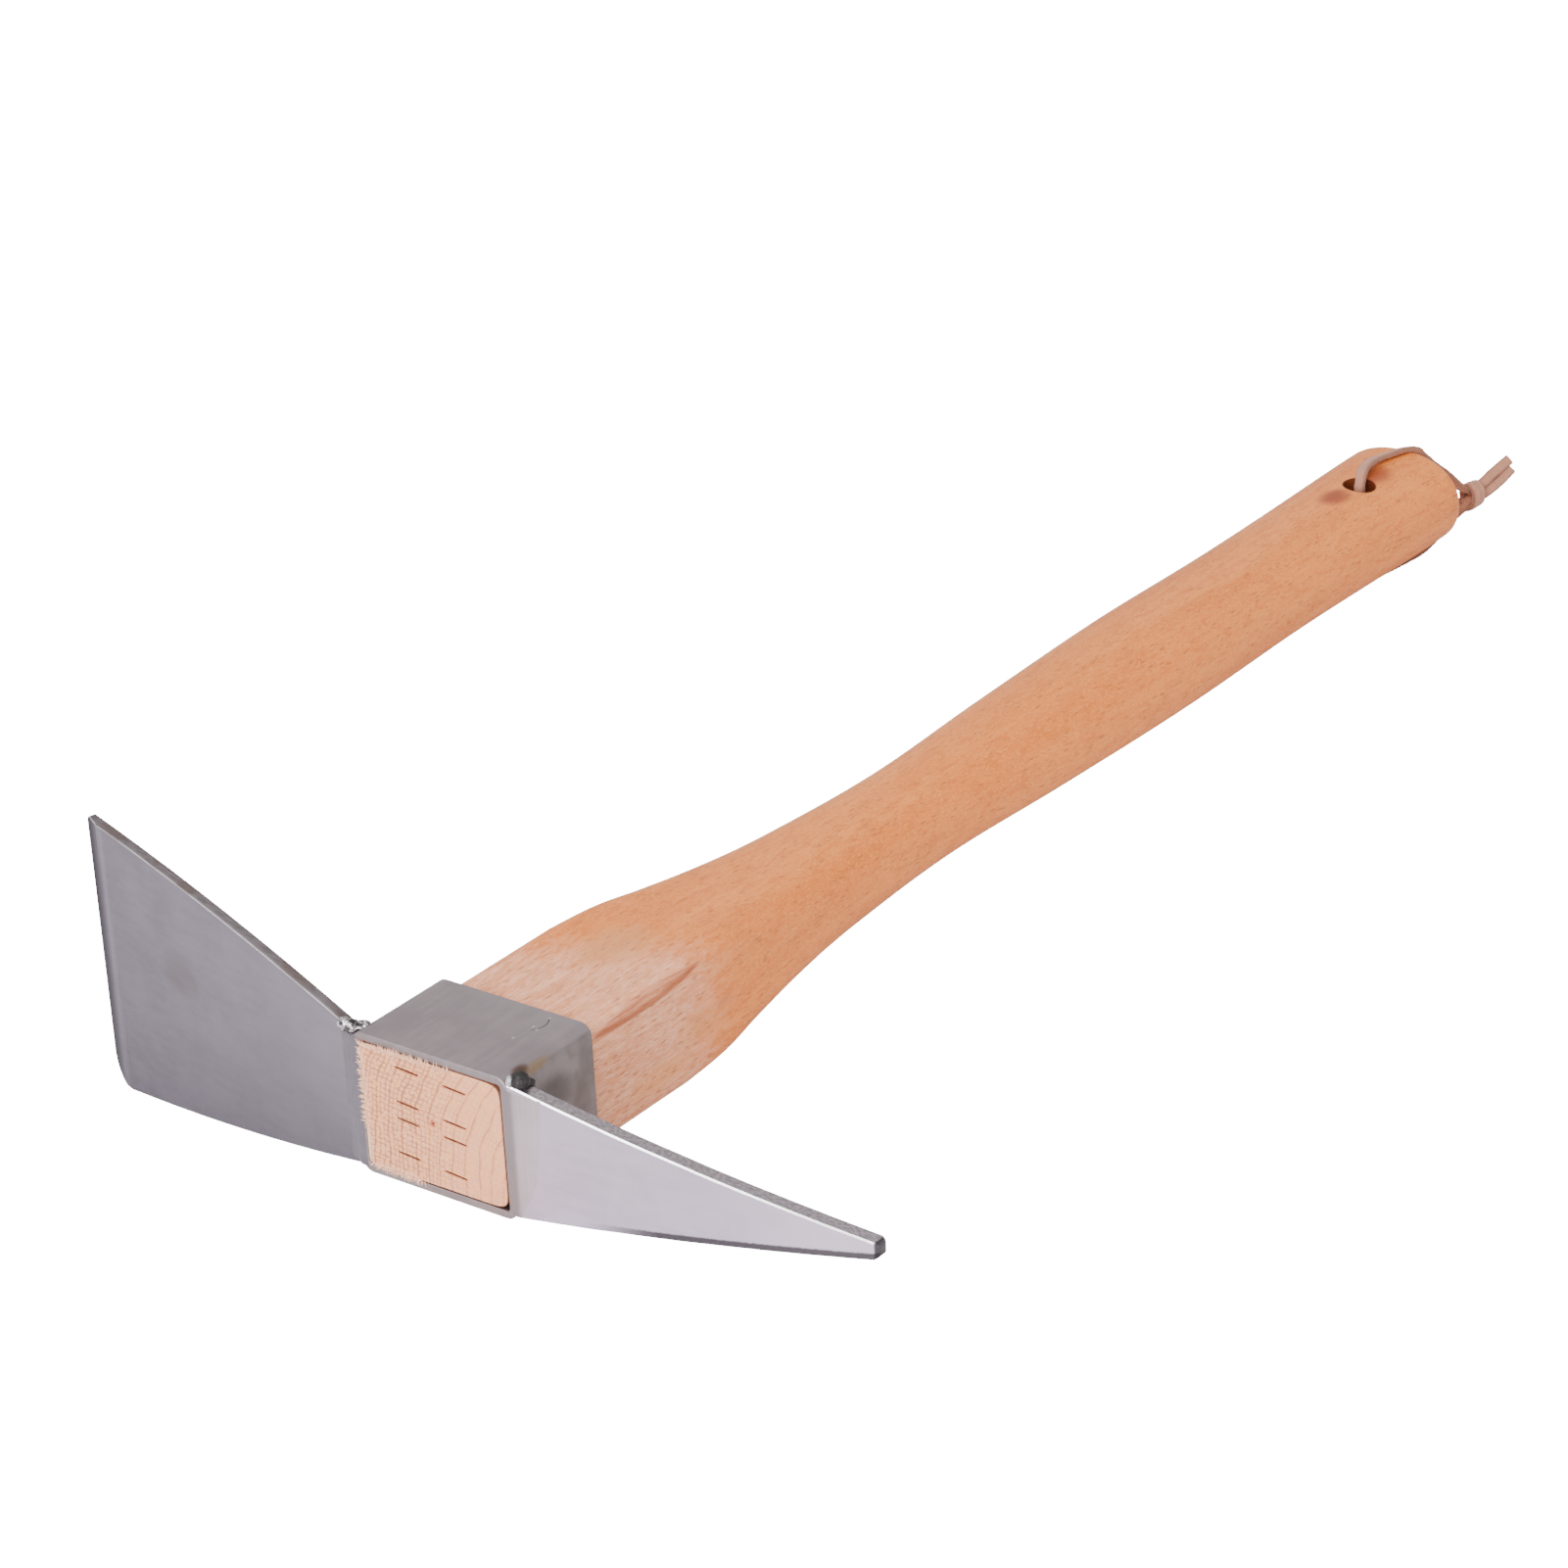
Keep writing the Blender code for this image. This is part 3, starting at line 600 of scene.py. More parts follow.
# Tan patches that the belt left between the raw scuffs, and warmer stains in the timber.
for middle, size, strength, colour in (
    ((0.0, 66.0, 15.0), (10.0, 15.0, 6.0), 0.60, (0.660, 0.275, 0.100)),
    ((20.0, 56.0, -8.0), (5.0, 15.0, 4.5), 0.60, (0.780, 0.310, 0.105)),
    ((20.0, 72.0, -2.0), (5.0, 12.0, 5.0), 0.50, (0.700, 0.270, 0.085)),
    ((2.6, 41.6, 15.4), (1.6, 3.0, 3.0), 0.55, (0.540, 0.190, 0.075)),
    ((17.0, 93.3, 6.8), (2.5, 3.4, 2.6), 0.65, (0.640, 0.190, 0.030)),
    ((19.0, 81.0, 0.0), (2.0, 4.0, 1.1), 0.50, (0.500, 0.150, 0.040)),
    ((14.0, 152.0, -7.0), (6.0, 30.0, 4.0), 0.40, (0.640, 0.195, 0.045)),
    ((1.8, 384.6, 13.5), (5.2, 7.6, 5.5), 1.00, (0.330, 0.060, 0.016)),
    ((3.6, 403.6, 13.5), (5.0, 8.4, 5.5), 1.00, (0.390, 0.076, 0.019)),
):
    patch = near_point(tree, apart, middle, size, mottle)
    timber = lay_over(tree, timber, patch, strength, colour)

# A reddish brown bark streak along the upper arris, a lens in shape with a darker lower line.
lower_side = work_out(tree, "SUBTRACT", work_out(tree, "SUBTRACT", at_x, at_z), 4.5)
along = work_out(tree, "DIVIDE", work_out(tree, "SUBTRACT", at_y, 31.0), 43.0)
belly = times(tree, work_out(tree, "SUBTRACT", 1.0, along), along)
belly = work_out(tree, "MAXIMUM", belly, 0.0)
wavering = work_out(
    tree, "MULTIPLY_ADD", streaks, 1.6, work_out(tree, "SUBTRACT", lower_side, 0.8),
)
lens_rise = work_out(tree, "MULTIPLY_ADD", along, -1.8, 3.6)
lens_low = work_out(tree, "MULTIPLY_ADD", belly, 9.0, lens_rise)
lens_high = work_out(tree, "MULTIPLY_ADD", belly, -17.0, lens_rise)
under = work_out(tree, "SUBTRACT", lens_low, wavering)
over = work_out(tree, "SUBTRACT", wavering, lens_high)
within = times(tree, fade(tree, under, 0.0, 0.7), fade(tree, over, 0.0, 1.6))
within = times(tree, within, fade(tree, belly, 0.0, 0.05))
strands = read_noise(tree, stretch(tree, place, (1.5, 0.09, 1.5)), 1.0, 3.0, 0.6, 0.4)
strands = work_out(tree, "MULTIPLY_ADD", fade(tree, strands, 0.42, 0.58), 0.45, 0.25)
timber = blend_colours(tree, times(tree, within, strands), timber, (0.440, 0.110, 0.034))
line = times(tree, fade(tree, under, -0.2, 0.5), fade(tree, times(tree, under, -1.0), -2.4, -0.9))
line = times(tree, line, fade(tree, belly, 0.005, 0.09))
timber = lay_over(tree, timber, line, 0.72, (0.370, 0.090, 0.034))

# Pores, and the drilled hole's wall and rim, painted dark brown.
timber = lay_over(tree, timber, flecks, 0.54, (0.330, 0.092, 0.026))
timber = lay_over(tree, timber, small_flecks, 0.36, (0.400, 0.115, 0.032))
off_x = work_out(tree, "SUBTRACT", at_x, HANG_HOLE.x * 1000)
off_y = work_out(tree, "SUBTRACT", at_y, HANG_HOLE.y * 1000)


def how_far(tree, across, up):
    """The distance from a point, from the two distances across and up."""
    return work_out(
        tree, "SQRT", work_out(tree, "ADD", times(tree, across, across), times(tree, up, up)),
    )


off_hole = how_far(tree, off_x, off_y)
dark_hole_rim = fade_out(tree, off_hole, 4.52, 4.95)
timber = lay_over(tree, timber, dark_hole_rim, 0.92, (0.115, 0.022, 0.010))
# The wood inside the socket is painted dark: painted shade between the socket and the tenon.
socket_shade = fade_out(tree, at_y, 28.2, 29.9)
timber = lay_over(tree, timber, socket_shade, 0.85, (0.120, 0.034, 0.014))
tree.links.new(timber, shader.inputs["Base Color"])
matte = work_out(tree, "MULTIPLY_ADD", varnish_share, -0.32, 0.78)
matte = work_out(tree, "MULTIPLY_ADD", streaks, 0.12, work_out(tree, "SUBTRACT", matte, 0.06))
tree.links.new(matte, shader.inputs["Roughness"])
shader.inputs["Specular IOR Level"].default_value = 0.24
relief = times(tree, fine, work_out(tree, "MULTIPLY_ADD", varnish_share, -0.75, 1.0))
relief = work_out(tree, "MULTIPLY_ADD", flecks, -0.5, relief)
set_bump(tree, shader, relief, 0.00012, 0.8)

# End grain: growth rings in arcs, fine square checks, and torn fibres towards the left edge.
end_grain, tree, shader, place = new_material("beech_end_grain")
apart = add_node(tree, "ShaderNodeSeparateXYZ", {0: place})
at_x, at_y, at_z = apart.outputs
wobble = read_noise(tree, place, 0.07, 2.0)
from_x = work_out(tree, "SUBTRACT", at_x, 46.0)
from_z = work_out(tree, "ADD", at_z, 12.0)
radius = how_far(tree, from_x, from_z)
radius = work_out(tree, "MULTIPLY_ADD", wobble, 5.0, radius)
ring_phase = work_out(tree, "FRACT", work_out(tree, "DIVIDE", radius, 3.7))
late_wood = times(
    tree, fade(tree, ring_phase, 0.80, 0.955), fade_out(tree, ring_phase, 0.965, 1.0),
)
pores = read_noise(tree, place, 4.6, 3.0, 0.7)
blotches = read_noise(tree, place, 0.35, 3.0)
bearing = work_out(tree, "ARCTAN2", from_z, from_x)
ray_place = add_node(
    tree, "ShaderNodeCombineXYZ", {0: times(tree, bearing, 60.0), 1: times(tree, radius, 0.10)},
).outputs[0]
rays = read_noise(tree, ray_place, 1.0, 2.0, 0.6)
sawn = blend_colours(
    tree, fade(tree, pores, 0.40, 0.58), (0.880, 0.250, 0.110), (1.0, 0.570, 0.335),
)
grit = read_noise(tree, place, 9.0, 2.0, 0.7)
sawn = lay_over(tree, sawn, fade(tree, grit, 0.50, 0.62), 0.52, (0.560, 0.185, 0.090))
sawn = lay_over(tree, sawn, late_wood, 0.70, (0.440, 0.150, 0.075))
sawn = lay_over(tree, sawn, fade(tree, rays, 0.56, 0.74), 0.40, (1.0, 0.620, 0.440))
sawn = lay_over(tree, sawn, fade(tree, blotches, 0.46, 0.66), 0.55, (0.980, 0.440, 0.185))
# The saw's fine square checks, on a slightly wavy grid that follows the rings.
drift = read_noise(tree, place, 0.45, 2.0)
checks = None
slanted = work_out(tree, "MULTIPLY_ADD", at_x, 0.10, at_z)
for direction, pitch in (
    (work_out(tree, "MULTIPLY_ADD", drift, 1.1, radius), 1.25),
    (work_out(tree, "MULTIPLY_ADD", drift, 1.4, slanted), 1.35),
):
    phase = work_out(tree, "FRACT", work_out(tree, "DIVIDE", direction, pitch))
    groove = work_out(tree, "ABSOLUTE", work_out(tree, "SUBTRACT", phase, 0.5))
    groove = fade_out(tree, groove, 0.05, 0.17)
    checks = groove if checks is None else work_out(tree, "MAXIMUM", checks, groove)
broken = read_noise(tree, stretch(tree, place, (0.8, 0.8, 0.8), (9.0, 4.0, 2.0)), 1.0, 2.0)
checks = times(tree, checks, fade(tree, broken, 0.36, 0.52))
towards_left = fade_out(tree, at_x, -8.0, 14.0)
checks = times(tree, checks, work_out(tree, "MULTIPLY_ADD", towards_left, 0.75, 0.20))
sawn = lay_over(tree, sawn, checks, 0.80, (0.400, 0.150, 0.095))
dot_x = work_out(tree, "ADD", at_x, 0.1)
dot_z = work_out(tree, "SUBTRACT", at_z, 0.5)
dot = how_far(tree, dot_x, dot_z)
sawn = blend_colours(
    tree, work_out(tree, "MULTIPLY_ADD", fade(tree, dot, 0.55, 1.15), -0.8, 0.8), sawn,
    (0.460, 0.110, 0.050),
)
edge_x = work_out(tree, "SUBTRACT", 20.0, work_out(tree, "ABSOLUTE", at_x))
edge_z = work_out(tree, "SUBTRACT", 15.5, work_out(tree, "ABSOLUTE", at_z))
rim = work_out(tree, "MINIMUM", edge_x, edge_z)
torn = fade_out(tree, work_out(tree, "MULTIPLY_ADD", pores, -2.4, rim), -1.6, 0.4)
left_side = fade_out(tree, at_x, -16.0, 4.0)
torn = times(tree, torn, work_out(tree, "MULTIPLY_ADD", left_side, 0.75, 0.15))
sawn = blend_colours(tree, torn, sawn, (1.0, 0.700, 0.520))
# The slits and the centre hole are painted dark deeper than 0.14 mm: painted shade in these
# recesses.
recess_shade = fade(tree, at_y, 0.14, 0.40)
sawn = blend_colours(tree, recess_shade, sawn, (0.200, 0.045, 0.020))
tree.links.new(sawn, shader.inputs["Base Color"])
shader.inputs["Roughness"].default_value = 0.85
shader.inputs["Specular IOR Level"].default_value = 0.2
set_bump(tree, shader, work_out(tree, "MULTIPLY_ADD", checks, -1.0, pores), 0.00016, 0.8)

beech_handle = link_piece(
    "beech_handle", handle_mesh, [beech, end_grain], "tool", ["handle"], 32,
)
for polygon in beech_handle.data.polygons:
    middle = LAID_DOWN.inverted() @ polygon.center
    polygon.material_index = 1 if middle.y < 0.0014 and abs(polygon.normal.dot(tool_y)) > 0.3 or (
        middle.y < 0.0014 and abs(middle.x) < 0.0150 and abs(middle.z) < 0.0145
    ) else 0

# Torn fibres and burr that the saw left standing on the edges of the front end grain: long and
# pale on the left, short and thick along the top, and a few at the bottom.
roots_bm = bmesh.new()
for edge_line in (
    ((-0.0195, 0.0150), (-0.0197, 0.0100), (-0.0197, 0.0), (-0.0196, -0.0070)),
    ((0.0060, 0.0151), (-0.0060, 0.0152), (-0.0140, 0.0152), (-0.0196, 0.0150)),
    ((-0.0190, 0.0150), (-0.0120, 0.0150), (-0.0060, 0.0151), (-0.0010, 0.0151)),
    ((-0.0190, -0.0148), (-0.0150, -0.0152), (-0.0080, -0.0152), (-0.0040, -0.0152)),
):
    edge_points = smooth_route([Vector((x, -0.0002, z)) for x, z in edge_line], 0.0006)
    edge_verts = [roots_bm.verts.new(p) for p in edge_points]
    for a, b in zip(edge_verts, edge_verts[1:]):
        roots_bm.edges.new((a, b))
roots_mesh = bpy.data.meshes.new("fibre_roots")
roots_bm.to_mesh(roots_mesh)
roots_bm.free()
torn_fibres, tree, shader, place = new_material("torn_fibres")
fluff = read_noise(tree, place, 6.0, 2.0)
fluff = blend_colours(
    tree, fade(tree, fluff, 0.35, 0.65), (0.820, 0.380, 0.210), (1.0, 0.720, 0.540),
)
tree.links.new(fluff, shader.inputs["Base Color"])
shader.inputs["Roughness"].default_value = 0.9

fibre_tree = bpy.data.node_groups.new("torn_fibres", "GeometryNodeTree")
fibre_tree.interface.new_socket("Geometry", in_out="INPUT", socket_type="NodeSocketGeometry")
fibre_inputs = {}
for label, kind in (
    ("Length", "NodeSocketFloat"), ("Radius", "NodeSocketFloat"),
    ("Count", "NodeSocketInt"), ("Seed", "NodeSocketInt"),
):
    fibre_inputs[label] = fibre_tree.interface.new_socket(label, in_out="INPUT", socket_type=kind)
fibre_tree.interface.new_socket("Geometry", in_out="OUTPUT", socket_type="NodeSocketGeometry")
given = add_node(fibre_tree, "NodeGroupInput")
line_curve = add_node(fibre_tree, "GeometryNodeMeshToCurve", {"Mesh": given.outputs["Geometry"]})
line_points = add_node(
    fibre_tree, "GeometryNodeResampleCurve",
    {"Curve": line_curve.outputs["Curve"], "Count": given.outputs["Count"]}, mode="COUNT",
)
scatter = add_node(
    fibre_tree, "FunctionNodeRandomValue",
    {
        0: (-0.00030, -0.00015, -0.00030), 1: (0.00030, 0.00020, 0.00030),
        "Seed": given.outputs["Seed"],
    },
    data_type="FLOAT_VECTOR",
)
moved = add_node(
    fibre_tree, "GeometryNodeSetPosition",
    {"Geometry": line_points.outputs["Curve"], "Offset": scatter.outputs[0]},
)
fibre_cone = add_node(
    fibre_tree, "GeometryNodeMeshCone",
    {
        "Vertices": 5, "Side Segments": 2, "Radius Top": 0.000025,
        "Radius Bottom": given.outputs["Radius"], "Depth": given.outputs["Length"],
    },
)
# Each fibre leans outwards from the middle of the end grain, and a little to the front.
root_place = add_node(fibre_tree, "GeometryNodeInputPosition")
outwards = add_node(
    fibre_tree, "ShaderNodeVectorMath", {0: root_place.outputs[0], 1: (50.5, 0.0, 65.0)},
    operation="MULTIPLY",
)
for _ in range(2):
    outwards = add_node(
        fibre_tree, "ShaderNodeVectorMath", {0: outwards.outputs[0], 1: outwards.outputs[0]},
        operation="MULTIPLY",
    )
side_of = add_node(
    fibre_tree, "ShaderNodeVectorMath", {0: root_place.outputs[0]}, operation="SIGN",
)
outwards = add_node(
    fibre_tree, "ShaderNodeVectorMath", {0: outwards.outputs[0], 1: side_of.outputs[0]},
    operation="MULTIPLY",
)
stray = add_node(
    fibre_tree, "FunctionNodeRandomValue",
    {0: (-0.55, -0.32, -0.55), 1: (0.55, -0.02, 0.55), "Seed": given.outputs["Seed"]},
    data_type="FLOAT_VECTOR",
)
leaning = add_node(
    fibre_tree, "ShaderNodeVectorMath", {0: outwards.outputs[0], 1: stray.outputs[0]},
    operation="ADD",
)
lean = add_node(
    fibre_tree, "FunctionNodeAlignRotationToVector", {"Vector": leaning.outputs[0]}, axis="Z",
)
grow = add_node(
    fibre_tree, "FunctionNodeRandomValue",
    {2: 0.12, 3: 1.25, "Seed": given.outputs["Seed"]}, data_type="FLOAT",
)
set_on = add_node(
    fibre_tree, "GeometryNodeInstanceOnPoints",
    {
        "Points": moved.outputs["Geometry"], "Instance": fibre_cone.outputs["Mesh"],
        "Rotation": lean.outputs[0], "Scale": grow.outputs[1],
    },
)
made_real = add_node(fibre_tree, "GeometryNodeRealizeInstances", {"Geometry": set_on.outputs[0]})
coloured = add_node(
    fibre_tree, "GeometryNodeSetMaterial",
    {"Geometry": made_real.outputs[0], "Material": torn_fibres},
)
add_node(fibre_tree, "NodeGroupOutput", {"Geometry": coloured.outputs[0]})
roots = bpy.data.objects.new("fibre_roots", roots_mesh)
bpy.context.scene.collection.objects.link(roots)
growth = roots.modifiers.new("fibres", "NODES")
growth.node_group = fibre_tree
growth[fibre_inputs["Length"].identifier] = 0.0012
growth[fibre_inputs["Radius"].identifier] = 0.00016
growth[fibre_inputs["Count"].identifier] = 150
growth[fibre_inputs["Seed"].identifier] = 7
link_piece(
    "front_fibres", finished_mesh(roots), [torn_fibres], "tool", [], 60,
)


# ---------------------------------------------------------------- socket
# A short length of stainless steel box section, 2 mm in the wall, pressed over the tenon and
# left open at both ends. It is blasted to a dull satin, and the welding has tinted it brown and
# straw next to the beads.
SOCKET_OUTSIDE = (0.0223, 0.0178)
SOCKET_WALL = 0.0020
SOCKET_DEPTH = 0.0300
SOCKET_CORNER = 0.0030
SOCKET_EDGE = 0.0004


def rounded_rectangle(half_width, half_height, radius, steps=9):
    points = []
    for sign_x, sign_z, start in ((1, 1, 0), (-1, 1, 90), (-1, -1, 180), (1, -1, 270)):
        for step in range(steps + 1):
            angle = math.radians(start + 90 * step / steps)
            points.append((
                sign_x * (half_width - radius) + radius * math.cos(angle),
                sign_z * (half_height - radius) + radius * math.sin(angle),
            ))
    return points


socket_bm = bmesh.new()
socket_profile = []
for middle_in, middle_y, start in (
    (SOCKET_EDGE, SOCKET_EDGE, 180), (SOCKET_WALL - SOCKET_EDGE, SOCKET_EDGE, 270),
    (SOCKET_WALL - SOCKET_EDGE, SOCKET_DEPTH - SOCKET_EDGE, 0),
    (SOCKET_EDGE, SOCKET_DEPTH - SOCKET_EDGE, 90),
):
    for step in range(5):
        angle = math.radians(start + 90 * step / 4)
        socket_profile.append((
            middle_in + SOCKET_EDGE * math.cos(angle), middle_y + SOCKET_EDGE * math.sin(angle),
        ))
socket_rings = []
for inset, y in socket_profile:
    outline = rounded_rectangle(
        SOCKET_OUTSIDE[0] - inset, SOCKET_OUTSIDE[1] - inset, max(SOCKET_CORNER - inset, 0.001),
    )
    socket_rings.append([socket_bm.verts.new((x, y, z)) for x, z in outline])
for ring, following in zip(socket_rings, socket_rings[1:] + socket_rings[:1]):
    for i in range(len(ring)):
        j = (i + 1) % len(ring)
        socket_bm.faces.new((ring[i], ring[j], following[j], following[i]))
socket_mesh = into_mesh(socket_bm, "steel_socket")

# The blasted finish that every plate of the head shares: a fine grain, faint rolling lines and
# soft clouds of tone.
satin_group = bpy.data.node_groups.new("blasted_satin", "ShaderNodeTree")
satin_group.interface.new_socket("Place", in_out="INPUT", socket_type="NodeSocketVector")
satin_group.interface.new_socket("Rolling", in_out="INPUT", socket_type="NodeSocketVector")
satin_group.interface.new_socket("Tone", in_out="OUTPUT", socket_type="NodeSocketFloat")
satin_group.interface.new_socket("Grain", in_out="OUTPUT", socket_type="NodeSocketFloat")
inside = add_node(satin_group, "NodeGroupInput")
rolled = add_node(
    satin_group, "ShaderNodeVectorMath",
    {0: inside.outputs["Place"], 1: inside.outputs["Rolling"]}, operation="MULTIPLY",
).outputs[0]
clouds = read_noise(satin_group, inside.outputs["Place"], 0.055, 3.0, 0.6)
lines = read_noise(satin_group, rolled, 1.0, 2.0, 0.6)
grains = read_noise(satin_group, inside.outputs["Place"], 5.5, 3.0, 0.7)
tone = work_out(satin_group, "MULTIPLY_ADD", lines, 0.35, times(satin_group, clouds, 0.65))
add_node(satin_group, "NodeGroupOutput", {"Tone": tone, "Grain": grains})


def steel_finish(name, dark, light, rolling, roughness, grain_height):
    """A satin steel material; gives it with its tree, shader, place, colour and roughness."""
    material, tree, shader, place = new_material(name)
    satin = add_node(tree, "ShaderNodeGroup", node_tree=satin_group)
    tree.links.new(place, satin.inputs["Place"])
    satin.inputs["Rolling"].default_value = rolling
    colour = blend_colours(tree, fade(tree, satin.outputs["Tone"], 0.36, 0.64), dark, light)
    colour = lay_over(
        tree, colour, fade(tree, satin.outputs["Grain"], 0.55, 0.75), 0.22,
        tuple(channel * 1.35 for channel in light),
    )
    rough = work_out(tree, "MULTIPLY_ADD", satin.outputs["Grain"], 0.16, roughness - 0.08)
    shader.inputs["Metallic"].default_value = 1.0
    set_bump(tree, shader, satin.outputs["Grain"], grain_height, 0.6)
    return material, tree, shader, place, colour, rough


socket_steel, tree, shader, place, colour, rough = steel_finish(
    "socket_steel", (0.300, 0.248, 0.262), (0.366, 0.308, 0.320), (0.4, 0.05, 0.4), 0.46, 0.00003,
)
apart = add_node(tree, "ShaderNodeSeparateXYZ", {0: place})
at_x, at_y, at_z = apart.outputs
smoke = read_noise(tree, place, 0.13, 2.0, 0.5)
# The right wall, away from its front edge, is painted darker as painted shade; the mottled stain
# laid over it is real smudging.
right_wall_shade = times(tree, fade(tree, at_x, 21.6, 22.2), fade(tree, at_y, 3.5, 7.0))
colour = lay_over(tree, colour, right_wall_shade, 0.60, (0.150, 0.126, 0.124))
stain = times(tree, right_wall_shade, fade(tree, smoke, 0.36, 0.62))
colour = lay_over(tree, colour, stain, 0.60, (0.110, 0.092, 0.086))
for middle, size, strength, tint in (
    ((22.0, 10.4, 16.6), (1.5, 6.4, 1.9), 0.62, (0.300, 0.190, 0.085)),
    ((21.3, 6.2, 17.2), (1.9, 3.4, 2.0), 0.85, (0.085, 0.045, 0.026)),
    ((-22.0, 5.0, 17.0), (3.0, 4.4, 3.4), 0.70, (0.110, 0.080, 0.060)),
    ((22.2, 14.0, 7.0), (2.0, 10.0, 6.0), 0.70, (0.070, 0.060, 0.055)),
    ((22.2, 24.0, 2.0), (2.0, 5.0, 7.0), 0.40, (0.120, 0.098, 0.088)),
):
    patch = near_point(tree, apart, middle, size, smoke)
    colour = lay_over(tree, colour, patch, strength, tint)
curl_x = work_out(tree, "SUBTRACT", at_x, 9.6)
curl_y = work_out(tree, "SUBTRACT", at_y, 24.0)
curl = how_far(tree, curl_x, curl_y)
scratch = fade_out(
    tree, work_out(tree, "ABSOLUTE", work_out(tree, "SUBTRACT", curl, 4.2)), 0.10, 0.24,
)
scratch = times(tree, scratch, fade(tree, curl_x, 2.4, 3.4))
scratch = times(tree, scratch, fade(tree, at_z, 17.0, 17.6))
colour = lay_over(tree, colour, scratch, 0.8, (0.050, 0.045, 0.045))
for middle in ((13.5, 21.6, 17.8), (11.9, 22.4, 17.8), (11.3, 16.0, 17.8), (12.5, 27.3, 17.8)):
    spatter = near_point(tree, apart, middle, (0.45, 0.45, 1.0), smoke, 0.3)
    colour = lay_over(tree, colour, spatter, 0.8, (0.62, 0.60, 0.50))
tree.links.new(colour, shader.inputs["Base Color"])
tree.links.new(rough, shader.inputs["Roughness"])

link_piece(
    "steel_socket", socket_mesh, [socket_steel], "tool", ["socket"], 30,
)


# ---------------------------------------------------------------- hoe blade
# Laser-cut from 3 mm stainless plate, blasted on both faces, and ground with one shallow bevel on
# the front of its cutting edge. It leans 12 degrees back towards the handle. The cut edges keep
# fine striations and brown heat marks.
BLADE_THICKNESS = 0.0030
BLADE_LENGTH = 0.1038
BLADE_ROOT_HALF = 0.0168
BLADE_EDGE_HALF = 0.0357
BLADE_BULGE = 0.0016
BLADE_LEAN = math.radians(12.4)
BLADE_SETBACK = 0.0010
BLADE_CORNERS = (0.0015, 0.0078)
BLADE_BEVEL = 0.0055
BLADE_EDGE_THICKNESS = 0.0018


def blade_half_height(along):
    share = along / BLADE_LENGTH
    straight = BLADE_ROOT_HALF + (BLADE_EDGE_HALF - BLADE_ROOT_HALF) * share
    return straight + BLADE_BULGE * 4 * share * (1 - share)


def blade_side(radius, side):
    """The points of one long edge of the blade and its corner, from the root outwards."""
    end = BLADE_LENGTH - radius
    points = [(end * step / 40, blade_half_height(end * step / 40)) for step in range(40)]
    lean = math.degrees(math.atan2(BLADE_EDGE_HALF - blade_half_height(end), radius))
    centre = blade_half_height(end) - radius
    for step in range(13):
        angle = math.radians((90 + lean / 2) * (1 - step / 12))
        points.append((end + radius * math.cos(angle), centre + radius * math.sin(angle)))
    return [(x, side * z) for x, z in points]


blade_root = Matrix.Translation((-SOCKET_OUTSIDE[0], BLADE_SETBACK, 0.0))
blade_turn = blade_root @ Matrix.Rotation(-BLADE_LEAN, 4, "Z")
blade_bm = bmesh.new()
blade_outline = blade_side(BLADE_CORNERS[0], 1) + blade_side(BLADE_CORNERS[1], -1)[::-1]
join_outlines(
    blade_bm,
    [(-x, 0.0, z) for x, z in blade_outline],
    [(-x, BLADE_THICKNESS, z) for x, z in blade_outline],
)
blade_mesh = into_mesh(blade_bm, "hoe_blade")
rise = BLADE_THICKNESS - BLADE_EDGE_THICKNESS
wedge_bm = bmesh.new()
wedge = [
    (-BLADE_LENGTH + 1.5 * BLADE_BEVEL, -0.5 * rise),
    (-BLADE_LENGTH - 0.5 * BLADE_BEVEL, 1.5 * rise), (-BLADE_LENGTH - 0.5 * BLADE_BEVEL, -0.01),
    (-BLADE_LENGTH + 1.5 * BLADE_BEVEL, -0.01),
]
join_outlines(wedge_bm, [(x, y, -0.06) for x, y in wedge], [(x, y, 0.06) for x, y in wedge])
blade_mesh = cut_away(blade_mesh, wedge_bm, "blade_blank")


def soften_edges(mesh, name, width, segments=3, angle=24):
    """Round over the sharp edges of a plate."""
    mesh.shade_smooth()
    plate = bpy.data.objects.new(name, mesh)
    bpy.context.scene.collection.objects.link(plate)
    bevel = plate.modifiers.new("soften", "BEVEL")
    bevel.width = width
    bevel.segments = segments
    bevel.limit_method = "ANGLE"
    bevel.angle_limit = math.radians(angle)
    bevel.harden_normals = True
    return finished_mesh(plate)


blade_mesh = soften_edges(blade_mesh, "blade_plate", 0.00030)
blade_mesh.transform(blade_turn)

blade_steel, tree, shader, place, colour, rough = steel_finish(
    "blade_steel", (0.236, 0.208, 0.248), (0.272, 0.240, 0.287), (0.06, 0.4, 0.5), 0.44, 0.00003,
)
apart = add_node(tree, "ShaderNodeSeparateXYZ", {0: place})
at_x, at_y, at_z = apart.outputs
from_root = times(tree, work_out(tree, "ADD", at_x, 22.3), -1.0)
along = work_out(
    tree, "MULTIPLY_ADD", at_y, math.sin(BLADE_LEAN), times(tree, from_root, math.cos(BLADE_LEAN))
)
